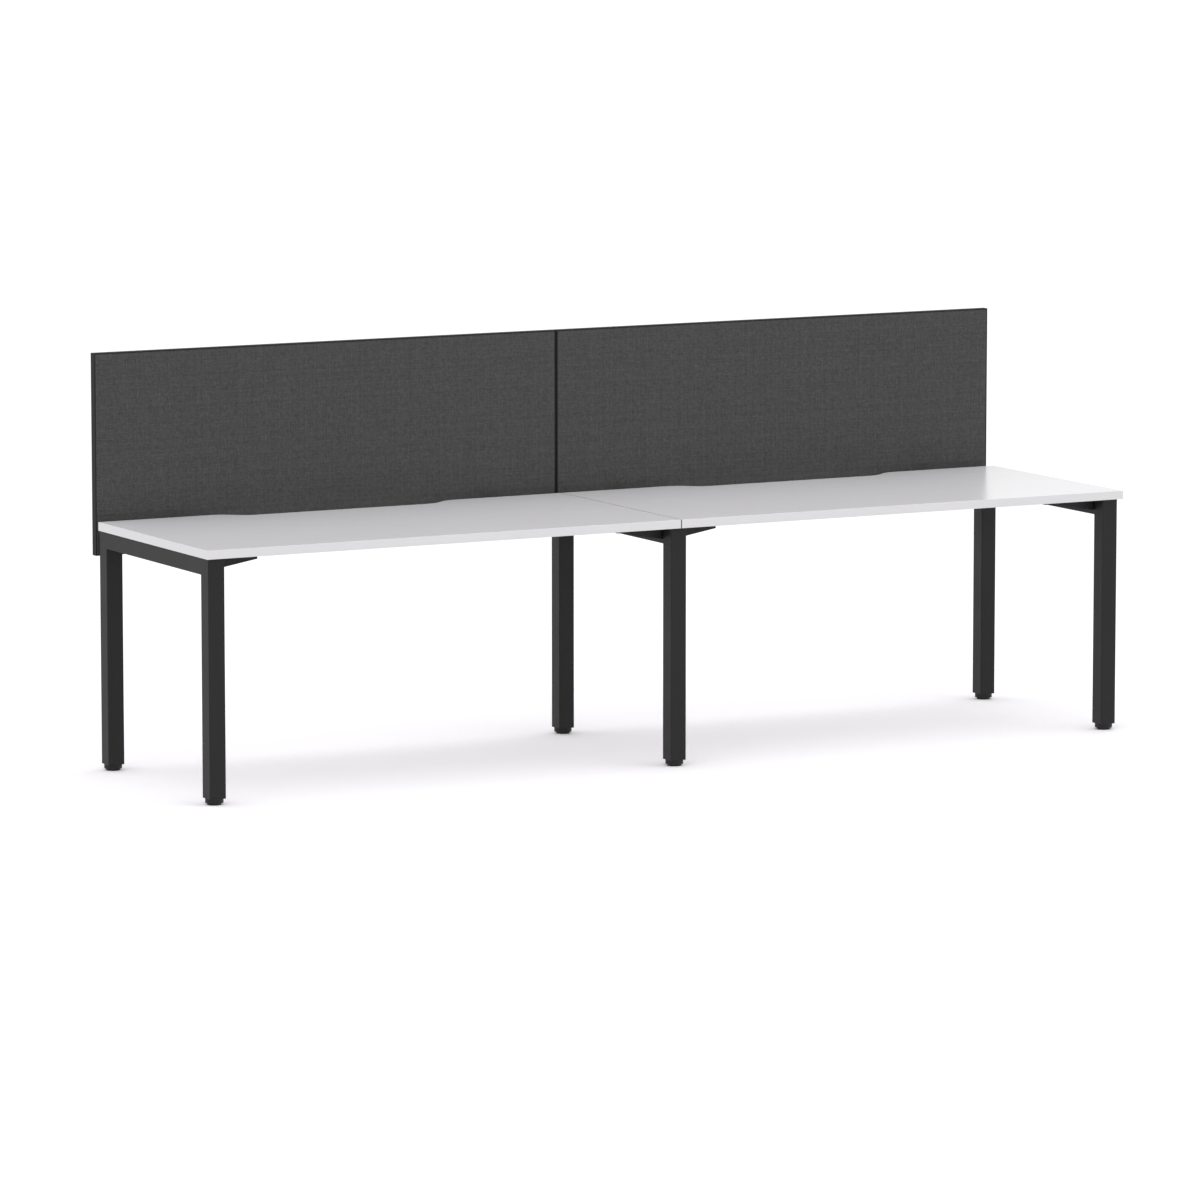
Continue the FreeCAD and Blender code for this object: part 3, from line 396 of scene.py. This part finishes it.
def melamine():
    """Off-white pressed laminate."""
    material, tree, shader = finish_named("melamine", Specular_IOR_Level=0.5)
    skin = use(tree, FINE_SKIN, {"Grains per metre": 1300.0, "Patches per metre": 3.0})
    rubs = use(tree, RUB_MARKS, {"Marks per metre": 420.0})
    place = add(tree, "ShaderNodeTexCoord")
    stretched = add(tree, "ShaderNodeMapping", {"Scale": (0.8, 9.0, 9.0)})
    wiped = add(tree, "ShaderNodeTexNoise", {"Scale": 4.0, "Detail": 4.0, "Roughness": 0.6})
    colour = tint(tree, MELAMINE_SHADE, MELAMINE_LIGHT, skin.outputs["Patches"])
    rough = between(tree, *MELAMINE_ROUGHNESS, wiped.outputs["Fac"])
    worn = add(tree, "ShaderNodeMath", {1: MELAMINE_RUBBED}, operation="MULTIPLY_ADD")
    wire(tree, (place.outputs["Object"], stretched.inputs["Vector"]),
         (stretched.outputs["Vector"], wiped.inputs["Vector"]), (colour, shader.inputs["Base Color"]),
         (rubs.outputs["Mask"], worn.inputs[0]), (rough, worn.inputs[2]),
         (worn.outputs["Value"], shader.inputs["Roughness"]))
    relief(tree, shader, skin.outputs["Height"], PEARL_DEPTH)
    return material


dress(melamine(), *[f"{side}_top" for side in SIDES])

# Edging: a 2 mm strip of white ABS, drawn through a die and glued round each worktop, with its arrises
# scraped round. The drawing leaves fine lines along it. In the joint between the tops its colour is painted
# darker: painted shade of the narrow gap, together with some dirt.
JOINT_SHADE_AND_GRIME_FULL = 0.0012
JOINT_SHADE_AND_GRIME_NONE = 0.0020
JOINT_SHADE_AND_GRIME_LEVEL = 0.10
EDGING_SHADE = (0.808, 0.796, 0.818)
EDGING_LIGHT = (0.842, 0.832, 0.850)
EDGING_ROUGHNESS = (0.28, 0.40)
DRAWN_DEPTH = 0.00001


def edge_strip():
    """White ABS strip with drawn lines, and painted shade at the joint between the tops."""
    material, tree, shader = finish_named("edge_strip", Specular_IOR_Level=0.45)
    place = add(tree, "ShaderNodeTexCoord")
    lines = add(tree, "ShaderNodeMapping", {"Scale": (4.0, 4.0, 1600.0)})
    drawn = add(tree, "ShaderNodeTexNoise", {"Scale": 1.0, "Detail": 2.0})
    skin = use(tree, FINE_SKIN, {"Grains per metre": 900.0, "Patches per metre": 12.0})
    axes = add(tree, "ShaderNodeSeparateXYZ")
    off_joint = add(tree, "ShaderNodeMath", operation="ABSOLUTE")
    # Painted shade: the strip's colour is darkened within about 2 mm of the joint, for the gap's shade and
    # some dirt.
    joint_shade_and_grime = add(tree, "ShaderNodeMapRange", {"From Min": JOINT_SHADE_AND_GRIME_FULL, "From Max": JOINT_SHADE_AND_GRIME_NONE})
    white = tint(tree, EDGING_SHADE, EDGING_LIGHT, skin.outputs["Patches"])
    colour = add(tree, "ShaderNodeVectorMath", operation="SCALE")
    wire(tree, (place.outputs["Object"], axes.inputs["Vector"]), (axes.outputs["X"], off_joint.inputs[0]),
         (off_joint.outputs["Value"], joint_shade_and_grime.inputs["Value"]), (white, colour.inputs[0]),
         (between(tree, JOINT_SHADE_AND_GRIME_LEVEL, 1.0, joint_shade_and_grime.outputs["Result"]), colour.inputs["Scale"]),
         (place.outputs["Object"], lines.inputs["Vector"]),
         (lines.outputs["Vector"], drawn.inputs["Vector"]),
         (colour.outputs["Vector"], shader.inputs["Base Color"]),
         (between(tree, *EDGING_ROUGHNESS, drawn.outputs["Fac"]), shader.inputs["Roughness"]))
    relief(tree, shader, drawn.outputs["Fac"], DRAWN_DEPTH)
    return material


dress(edge_strip(), *[f"{side}_top_edging" for side in SIDES])

# Screen cores: 21 mm raw board, pressed from wood chips, sawn to size and grooved round the edge for the
# trim. The fabric and the trim cover them, so only the groove's walls could ever be seen.
BOARD_BROWN = (0.19, 0.125, 0.075)
BOARD_STRAW = (0.34, 0.24, 0.15)
BOARD_ROUGHNESS = (0.75, 0.95)
CHIP_DEPTH = 0.0001


def raw_board():
    """Brown pressed chips."""
    material, tree, shader = finish_named("raw_board", Specular_IOR_Level=0.2)
    skin = use(tree, FINE_SKIN, {"Grains per metre": 900.0, "Patches per metre": 60.0})
    colour = tint(tree, BOARD_BROWN, BOARD_STRAW, skin.outputs["Patches"])
    wire(tree, (colour, shader.inputs["Base Color"]),
         (between(tree, *BOARD_ROUGHNESS, skin.outputs["Height"]), shader.inputs["Roughness"]))
    relief(tree, shader, skin.outputs["Height"], CHIP_DEPTH)
    return material


dress(raw_board(), *[f"{side}_screen_core" for side in SIDES])

# Screen fabric: charcoal woven panel cloth over thin padding, stretched on each face of the core and
# rolled back at its borders into the trim. The yarns are heathered and slightly slubbed.
ROLL = 0.003
ROLL_DEPTH = 0.0013
ROLL_STEPS = 6
CLOTH_STEP = 0.03
PADDING_SWELL = 0.00018
PADDING_WAVES = 5.0
YARNS_PER_METRE = 620.0
YARN_DRIFT = 0.0014
YARN_BENDS = 150.0
YARN_DEPTH = 0.00025
YARN_ROUGHNESS = (0.95, 0.82)
FLOAT_ENDS = 0.55
FLECKS_ACROSS = 25.0
FLECKS_ALONG = 450.0
SLUBS_ACROSS = 330.0
SLUBS_ALONG = 85.0
CHARCOAL_DARK = (0.068, 0.068, 0.069)
CHARCOAL_LIGHT = (0.113, 0.112, 0.111)
SLUB_SHADE = (0.30, 1.62)
HOLLOW_PAINTED_SHADE = (0.62, 1.06)
TUCK_PAINTED_SHADE = 0.2


def woven_yarns():
    """Plain weave seen from the front: yarn relief, tone from yarn to yarn, and slubs."""
    tree, given, result = effect("woven_yarns", {"Yarns per metre": YARNS_PER_METRE},
                                 ("Height", "Tone", "Slub"))
    place = add(tree, "ShaderNodeTexCoord")
    wander = add(tree, "ShaderNodeTexNoise", {"Scale": YARN_BENDS, "Detail": 2.0})
    drift = add(tree, "ShaderNodeVectorMath", {1: (YARN_DRIFT,) * 3}, operation="MULTIPLY_ADD")
    axes = add(tree, "ShaderNodeSeparateXYZ")
    wire(tree, (place.outputs["Object"], wander.inputs["Vector"]),
         (wander.outputs["Color"], drift.inputs[0]), (place.outputs["Object"], drift.inputs[2]),
         (drift.outputs["Vector"], axes.inputs["Vector"]))

    def math_node(operation, first, second=None, third=None):
        """A Math node whose inputs are sockets or numbers."""
        made = add(tree, "ShaderNodeMath", operation=operation)
        for number, entry in enumerate((first, second, third)):
            if entry is None:
                continue
            if isinstance(entry, (int, float)):
                made.inputs[number].default_value = entry
            else:
                wire(tree, (entry, made.inputs[number]))
        return made.outputs["Value"]

    counts, crowns = [], []
    for axis in ("X", "Z"):
        count = math_node("MULTIPLY", axes.outputs[axis], given["Yarns per metre"])
        inside = math_node("FRACT", count)
        off_centre = math_node("MULTIPLY_ADD", inside, 2.0, -1.0)
        crowns.append(math_node("SUBTRACT", 1.0, math_node("MULTIPLY", off_centre, off_centre)))
        counts.append(math_node("FLOOR", count))
    parity = math_node("FLOORED_MODULO", math_node("ADD", *counts), 2.0)
    under = math_node("SUBTRACT", 1.0, parity)

    def upper_yarn(warp, weft):
        """The warp's value where the warp is on top, and the weft's elsewhere."""
        return math_node("ADD", math_node("MULTIPLY", warp, parity), math_node("MULTIPLY", weft, under))

    tones, slubs = [], []
    fleck_scales = ((FLECKS_ACROSS, FLECKS_ACROSS, FLECKS_ALONG),
                    (FLECKS_ALONG, FLECKS_ACROSS, FLECKS_ACROSS))
    slub_scales = ((SLUBS_ACROSS, 1.0, SLUBS_ALONG), (SLUBS_ALONG, 1.0, SLUBS_ACROSS))
    for count, fleck_scale, slub_scale in zip(counts, fleck_scales, slub_scales):
        random = add(tree, "ShaderNodeTexWhiteNoise", noise_dimensions="1D")
        stretch = add(tree, "ShaderNodeMapping", {"Scale": slub_scale})
        slub = add(tree, "ShaderNodeTexNoise", {"Scale": 1.0, "Detail": 2.0})
        fleck = add(tree, "ShaderNodeMapping", {"Scale": fleck_scale})
        flecks = add(tree, "ShaderNodeTexNoise", {"Scale": 1.0, "Detail": 1.0})
        wire(tree, (count, random.inputs["W"]), (place.outputs["Object"], stretch.inputs["Vector"]),
             (stretch.outputs["Vector"], slub.inputs["Vector"]),
             (place.outputs["Object"], fleck.inputs["Vector"]),
             (fleck.outputs["Vector"], flecks.inputs["Vector"]))
        tones.append(math_node("MULTIPLY_ADD", random.outputs["Value"], 0.5,
                               math_node("MULTIPLY", flecks.outputs["Fac"], 0.5)))
        slubs.append(slub.outputs["Fac"])
    slub_sum = math_node("MULTIPLY", math_node("ADD", *slubs), 0.5)
    floats = []
    for across, lengthwise in (crowns, crowns[::-1]):
        arch = math_node("MULTIPLY_ADD", lengthwise, 1 - FLOAT_ENDS, FLOAT_ENDS)
        floats.append(math_node("MULTIPLY", across, arch))
    wire(tree, (upper_yarn(*floats), result["Height"]), (upper_yarn(*tones), result["Tone"]),
         (slub_sum, result["Slub"]))
    return tree


def panel_cloth():
    """Charcoal heather cloth, with painted shade in the hollows between the yarns and where it is tucked in.
    """
    material, tree, shader = finish_named("panel_cloth", Specular_IOR_Level=0.12, Sheen_Weight=0.12,
                                          Sheen_Roughness=0.5)
    yarns = use(tree, woven_yarns(), {"Yarns per metre": YARNS_PER_METRE})
    heather = tint(tree, CHARCOAL_DARK, CHARCOAL_LIGHT, yarns.outputs["Tone"])
    shade = between(tree, *SLUB_SHADE, yarns.outputs["Slub"])
    # Painted shade: the colour is darker where the yarn relief is low, in the hollows of the weave.
    hollow_painted_shade = between(tree, *HOLLOW_PAINTED_SHADE, yarns.outputs["Height"])
    # Painted shade: the colour is darker towards the tucked-in borders, where the cloth rolls into the trim.
    border = add(tree, "ShaderNodeAttribute", attribute_name="tucked")
    packed = between(tree, 1.0, TUCK_PAINTED_SHADE, border.outputs["Fac"])
    both = add(tree, "ShaderNodeMath", operation="MULTIPLY")
    tone = add(tree, "ShaderNodeMath", operation="MULTIPLY")
    shaded = add(tree, "ShaderNodeVectorMath", operation="SCALE")
    wire(tree, (shade, both.inputs[0]), (hollow_painted_shade, both.inputs[1]), (both.outputs["Value"], tone.inputs[0]),
         (packed, tone.inputs[1]), (heather, shaded.inputs[0]),
         (tone.outputs["Value"], shaded.inputs["Scale"]),
         (shaded.outputs["Vector"], shader.inputs["Base Color"]),
         (between(tree, *YARN_ROUGHNESS, yarns.outputs["Height"]), shader.inputs["Roughness"]))
    relief(tree, shader, yarns.outputs["Height"], YARN_DEPTH)
    return material


def stations(low, high):
    """Places along one side of the cloth: close together in the rolled border, wide apart between."""
    border = [ROLL * (1 - math.cos(math.pi / 2 * step / ROLL_STEPS)) for step in range(ROLL_STEPS + 1)]
    inner = high - low - 2 * ROLL
    count = round(inner / CLOTH_STEP)
    middle = [ROLL + inner * step / count for step in range(1, count)]
    return [low + run for run in border + middle] + [high - run for run in reversed(border)]


def tucked(run, low, high):
    """How far into its rolled border a spot of the cloth lies: 0 on the open face, 1 at the trim."""
    return min(max(0.0, 1 - min(run - low, high - run) / ROLL), 1.0)


def cloth_face(name, low, high, outward):
    """Closed thin face of cloth and padding in its box; outward is -1 for a front and 1 for a rear."""
    columns = stations(low.x, high.x)
    rows = stations(low.z, high.z)
    face_y, core_y = (low.y, high.y) if outward < 0 else (high.y, low.y)
    mesh = bmesh.new()
    layers, tucks = [], []
    for on_core in (False, True):
        layer = []
        for z in rows:
            line = []
            for x in columns:
                tuck = max(tucked(x, low.x, high.x), tucked(z, low.z, high.z))
                sink = ROLL_DEPTH * (1 - math.sqrt(1 - tuck * tuck))
                wave = math.sin(PADDING_WAVES * math.pi * x) * math.cos(PADDING_WAVES * math.pi * z)
                swell = PADDING_SWELL * (wave - 1) / 2 if sink == 0 else -PADDING_SWELL / 2
                y = core_y if on_core else face_y + outward * (swell - sink)
                line.append(mesh.verts.new((x, y, z)))
                tucks.append(tuck)
            layer.append(line)
        layers.append(layer)
    for layer in layers:
        for lower, upper in zip(layer, layer[1:]):
            for left in range(len(columns) - 1):
                mesh.faces.new((lower[left], lower[left + 1], upper[left + 1], upper[left]))
    outer, inner = layers
    rims = [(outer[0], inner[0]), (outer[-1], inner[-1])]
    rims += [([line[end] for line in outer], [line[end] for line in inner]) for end in (0, -1)]
    for front, back in rims:
        for step in range(len(front) - 1):
            mesh.faces.new((front[step], front[step + 1], back[step + 1], back[step]))
    bmesh.ops.recalc_face_normals(mesh, faces=mesh.faces)
    made = to_object(mesh, name)
    # The tucked share is kept on the points; the cloth's material paints shade with it.
    made.data.attributes.new("tucked", "FLOAT", "POINT").data.foreach_set("value", tucks)
    return made


CLOTH = panel_cloth()
for side in SIDES:
    for face, outward in (("front", -1), ("rear", 1)):
        node = f"{side}_screen_{face}_fabric"
        low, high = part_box(node)
        cloth = cloth_face(f"{side}_screen_{face}_cloth", low, high, outward)
        cloth.data.materials.append(CLOTH)
        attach(cloth, "desk")
        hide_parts(node)

# Screen trims: black T-shaped extrusions pressed into the cores' grooves along all four edges and mitred
# at the corners. Their crowns cover the cloth's raw borders.
TRIM_EDGES = ("top", "bottom", "left", "right")
VINYL_DARK = (0.012, 0.012, 0.0125)
VINYL_WORN = (0.022, 0.022, 0.022)
VINYL_ROUGHNESS = (0.68, 0.84)
VINYL_DEPTH = 0.00003


def extruded_trim():
    """Black vinyl extrusion, dull, a little worn in patches."""
    material, tree, shader = finish_named("extruded_trim", Specular_IOR_Level=0.3)
    skin = use(tree, FINE_SKIN, {"Grains per metre": 1100.0, "Patches per metre": 14.0})
    colour = tint(tree, VINYL_DARK, VINYL_WORN, skin.outputs["Patches"])
    wire(tree, (colour, shader.inputs["Base Color"]),
         (between(tree, *VINYL_ROUGHNESS, skin.outputs["Patches"]), shader.inputs["Roughness"]))
    relief(tree, shader, skin.outputs["Height"], VINYL_DEPTH)
    return material


dress(extruded_trim(), *[f"{side}_screen_{edge}_trim" for side in SIDES for edge in TRIM_EDGES])

# Screen brackets and angles: folded steel in the same black coat, out of sight between the legs, the
# worktops and the screens.
dress(COAT, *[f"{frame_name}_screen_bracket" for frame_name in FRAME_NAMES])
dress(COAT, "screen_angles")

# Bolts and wood screws: hexagon heads, forged with a washer face, chamfered corners and a dished crown.
# Bolts in black oxide hold the black pieces together, and bright zinc screws go into the boards.
HEAD_SIDES = 36
BOLT_HEAD = 0.004
SCREW_HEAD = 0.0028
WASHER_FACE = 0.0003
CROWN_RIM = 0.92
DISH_RIM = 0.74
DISH_FLOOR = 0.64
DISH_DEPTH = 0.0004
POINT_CHAMFER = 0.0008
CHAMFER_SLOPE = math.tan(math.radians(30))
WELD_GAP = 0.00001
OXIDE_DARK = (0.035, 0.036, 0.040)
OXIDE_PALE = (0.070, 0.068, 0.068)
OXIDE_ROUGHNESS = (0.30, 0.50)
FORGED_DEPTH = 0.00001


def black_oxide():
    """Dark blued steel, a little oily."""
    material, tree, shader = finish_named("black_oxide", Metallic=1.0)
    skin = use(tree, FINE_SKIN, {"Grains per metre": 2400.0, "Patches per metre": 120.0})
    colour = tint(tree, OXIDE_DARK, OXIDE_PALE, skin.outputs["Patches"])
    wire(tree, (colour, shader.inputs["Base Color"]),
         (between(tree, *OXIDE_ROUGHNESS, skin.outputs["Patches"]), shader.inputs["Roughness"]))
    relief(tree, shader, skin.outputs["Height"], FORGED_DEPTH)
    return material


def separate_pieces(node):
    """Points of each separate piece in a packed group, piece by piece."""
    mesh = bmesh.new()
    mesh.from_mesh(frame["nodes"][node].data)
    bmesh.ops.remove_doubles(mesh, verts=mesh.verts, dist=WELD_GAP)
    pieces, seen = [], set()
    for start in mesh.verts:
        if start in seen:
            continue
        seen.add(start)
        reached = [start]
        for vert in reached:
            beside = [edge.other_vert(vert) for edge in vert.link_edges]
            fresh = [other for other in beside if other not in seen]
            seen.update(fresh)
            reached.extend(fresh)
        pieces.append([vert.co.copy() for vert in reached])
    mesh.free()
    return pieces


def hex_fastener(mesh, points, head):
    """Adds one hexagon bolt or screw where a packed one lies, given by that one's points."""
    low = [min(point[axis] for point in points) for axis in range(3)]
    high = [max(point[axis] for point in points) for axis in range(3)]
    flats, corners, run = sorted(range(3), key=lambda axis: high[axis] - low[axis])
    middle = [(first + last) / 2 for first, last in zip(low, high)]

    def reach(at_high):
        """Widest radius in one half of the piece."""
        half = [point for point in points if (point[run] > middle[run]) == at_high]
        return max(math.hypot(point[flats] - middle[flats], point[corners] - middle[corners])
                   for point in half)

    head_high = reach(True) > reach(False)
    crown, towards_point = (high[run], -1) if head_high else (low[run], 1)
    shank = reach(not head_high)
    length = high[run] - low[run]
    apothem = (high[flats] - low[flats]) / 2
    rim = CROWN_RIM * apothem
    columns = []
    for side in range(HEAD_SIDES):
        angle = 2 * math.pi * side / HEAD_SIDES
        hexagon = apothem / math.cos(angle % (math.pi / 3) - math.pi / 6)
        outline = [(DISH_FLOOR * apothem, DISH_DEPTH), (DISH_RIM * apothem, 0), (rim, 0),
                   (hexagon, (hexagon - rim) * CHAMFER_SLOPE), (hexagon, head - WASHER_FACE),
                   (rim, head - WASHER_FACE), (rim, head), (shank, head), (shank, length - POINT_CHAMFER),
                   (shank - POINT_CHAMFER, length)]
        column = []
        for radius, depth in outline:
            place = [0.0, 0.0, 0.0]
            place[run] = crown + towards_point * depth
            place[corners] = middle[corners] + radius * math.cos(angle)
            place[flats] = middle[flats] + radius * math.sin(angle)
            column.append(mesh.verts.new(place))
        columns.append(column)
    join_columns(mesh, columns)


for name, node, head, finish in (("hex_bolts", "frame_bolts", BOLT_HEAD, black_oxide()),
                                 ("hex_wood_screws", "wood_screws", SCREW_HEAD, ZINC)):
    mesh = bmesh.new()
    for points in separate_pieces(node):
        hex_fastener(mesh, points, head)
    bmesh.ops.recalc_face_normals(mesh, faces=mesh.faces)
    fasteners = to_object(mesh, name)
    fasteners.data.materials.append(finish)
    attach(fasteners, "desk")
    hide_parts(node)

# Stage: a wide pale floor that is white to the eye and keeps the desk's soft shadow, under an even white
# sky with one large soft box overhead. The floor is level beside each foot and runs smoothly from one to
# the next, as an uneven floor does that the feet make up for.
FLOOR_REACH = 60.0
FLOOR_STEPS = 24
LEVEL_SHARE = 0.12
FLOOR_PALE = 0.80
WHITE = (1, 1, 1, 1)
SHADOW_TINT = (0.985, 0.965, 0.990)
WHITE_SHARE = 0.22
NOOK_PAINTED_SHADE_REACH = 0.3
NOOK_PAINTED_SHADE_SAMPLES = 4
SKY_LEVEL = 0.88
SOFT_BOX = (6.0, 4.0)
SOFT_BOX_PLACE = (0.0, -0.6, 4.6)
SOFT_BOX_POWER = 60.0


def seen_directly(tree):
    """1 for rays from the eye and their mirrored or refracted ones, 0 for the light that fills."""
    path = add(tree, "ShaderNodeLightPath")
    first = add(tree, "ShaderNodeMath", operation="MAXIMUM")
    second = add(tree, "ShaderNodeMath", operation="MAXIMUM")
    wire(tree, (path.outputs["Is Camera Ray"], first.inputs[0]),
         (path.outputs["Is Glossy Ray"], first.inputs[1]), (first.outputs["Value"], second.inputs[0]),
         (path.outputs["Is Transmission Ray"], second.inputs[1]))
    return second.outputs["Value"]


def pale_floor():
    """Plain floor; the part that is white anyway is added only for what looks at it, and less in nooks as
    painted shade.
    """
    material = bpy.data.materials.new("pale_floor")
    material.use_nodes = True
    tree = material.node_tree
    tree.nodes.clear()
    filled = add(tree, "ShaderNodeBsdfDiffuse", {"Color": (FLOOR_PALE, FLOOR_PALE, FLOOR_PALE, 1)})
    shadowed = add(tree, "ShaderNodeBsdfDiffuse", {"Color": (*SHADOW_TINT, 1)})
    # Painted shade: an occlusion node takes the added white away near the feet and legs, deepening their
    # contact shadows.
    nook_painted_shade = add(tree, "ShaderNodeAmbientOcclusion", {"Distance": NOOK_PAINTED_SHADE_REACH}, samples=NOOK_PAINTED_SHADE_SAMPLES)
    share = add(tree, "ShaderNodeMath", {1: WHITE_SHARE}, operation="MULTIPLY")
    white = add(tree, "ShaderNodeEmission")
    looked_at = add(tree, "ShaderNodeAddShader")
    choice = add(tree, "ShaderNodeMixShader")
    output = add(tree, "ShaderNodeOutputMaterial")
    wire(tree, (nook_painted_shade.outputs["AO"], share.inputs[0]), (share.outputs["Value"], white.inputs["Strength"]),
         (shadowed.outputs["BSDF"], looked_at.inputs[0]),
         (white.outputs["Emission"], looked_at.inputs[1]), (seen_directly(tree), choice.inputs["Fac"]),
         (filled.outputs["BSDF"], choice.inputs[1]), (looked_at.outputs["Shader"], choice.inputs[2]),
         (choice.outputs["Shader"], output.inputs["Surface"]))
    return material


def foot_centre(corner):
    """Middle of a foot, seen from above."""
    low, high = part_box(f"{corner}_foot")
    return (low + high) / 2


def floor_lines(feet):
    """Lines that cut the floor up: its far edges, the feet, and close steps from foot to foot."""
    steps = [first + (second - first) * step / FLOOR_STEPS
             for first, second in zip(feet, feet[1:]) for step in range(FLOOR_STEPS)]
    return [-FLOOR_REACH, *steps, feet[-1], FLOOR_REACH]


def foot_share(place, foot, feet):
    """How far a spot follows a foot: wholly beside it, not at all beside the next one."""
    gaps = [abs(other - foot) for other in feet if (other - foot) * (place - foot) > 0]
    near = 1 - min(abs(place - foot) / min(gaps, default=math.inf), 1)
    level = min(max((near - LEVEL_SHARE) / (1 - 2 * LEVEL_SHARE), 0), 1)
    return level * level * (3 - 2 * level)


feet_x = [foot_centre(f"{frame_name}_front").x for frame_name in FRAME_NAMES]
feet_y = [foot_centre(f"left_{row}").y for row in LEG_ROWS]
plane = bmesh.new()
grid = [[plane.verts.new((x, y, 0)) for x in floor_lines(feet_x)] for y in floor_lines(feet_y)]
for near_line, far_line in zip(grid, grid[1:]):
    for step in range(len(near_line) - 1):
        plane.faces.new((near_line[step], near_line[step + 1], far_line[step + 1], far_line[step]))
floor = to_object(plane, "floor")
floor.data.materials.append(pale_floor())
for frame_name, foot_x in zip(FRAME_NAMES, feet_x):
    for row, foot_y in zip(LEG_ROWS, feet_y):
        group = floor.vertex_groups.new(name=f"{frame_name}_{row}")
        for vertex in floor.data.vertices:
            share = foot_share(vertex.co.x, foot_x, feet_x) * foot_share(vertex.co.y, foot_y, feet_y)
            group.add([vertex.index], share, "REPLACE")
        follow = floor.modifiers.new(group.name, "HOOK")
        follow.object = frame["bodies"][f"{frame_name}_{row}_leveller"]
        follow.vertex_group = group.name
        follow.falloff_type = "NONE"
        follow.matrix_inverse = follow.object.matrix_world.inverted()

world = bpy.data.worlds.new("even_sky")
world.use_nodes = True
bpy.context.scene.world = world
sky = world.node_tree
sky.nodes.clear()
fill = add(sky, "ShaderNodeBackground", {"Color": WHITE, "Strength": SKY_LEVEL})
backdrop = add(sky, "ShaderNodeBackground", {"Color": WHITE, "Strength": 1.0})
sky_choice = add(sky, "ShaderNodeMixShader")
sky_output = add(sky, "ShaderNodeOutputWorld")
wire(sky, (seen_directly(sky), sky_choice.inputs["Fac"]), (fill.outputs["Background"], sky_choice.inputs[1]),
     (backdrop.outputs["Background"], sky_choice.inputs[2]),
     (sky_choice.outputs["Shader"], sky_output.inputs["Surface"]))

lamp = bpy.data.lights.new("soft_box", "AREA")
lamp.shape = "RECTANGLE"
lamp.size, lamp.size_y = SOFT_BOX
lamp.energy = SOFT_BOX_POWER
soft_box = bpy.data.objects.new("soft_box", lamp)
soft_box.location = SOFT_BOX_PLACE
bpy.context.scene.collection.objects.link(soft_box)

# Camera: a long lens well off to the sitter's left and a little above the desk, level, as the photograph
# was taken.
CAMERA_PLACE = (-9.397, -17.4655, 3.123)
CAMERA_PITCH = 7.705
CAMERA_YAW = 28.148
SENSOR_WIDTH = 36.0
LENS = 204.93

camera_data = bpy.data.cameras.new("camera")
camera_data.sensor_width = SENSOR_WIDTH
camera_data.lens = LENS
camera = bpy.data.objects.new("camera", camera_data)
camera.location = CAMERA_PLACE
camera.rotation_euler = (math.radians(90 - CAMERA_PITCH), 0, math.radians(-CAMERA_YAW))
bpy.context.scene.collection.objects.link(camera)
bpy.context.scene.camera = camera
bpy.context.scene.view_settings.view_transform = "Standard"
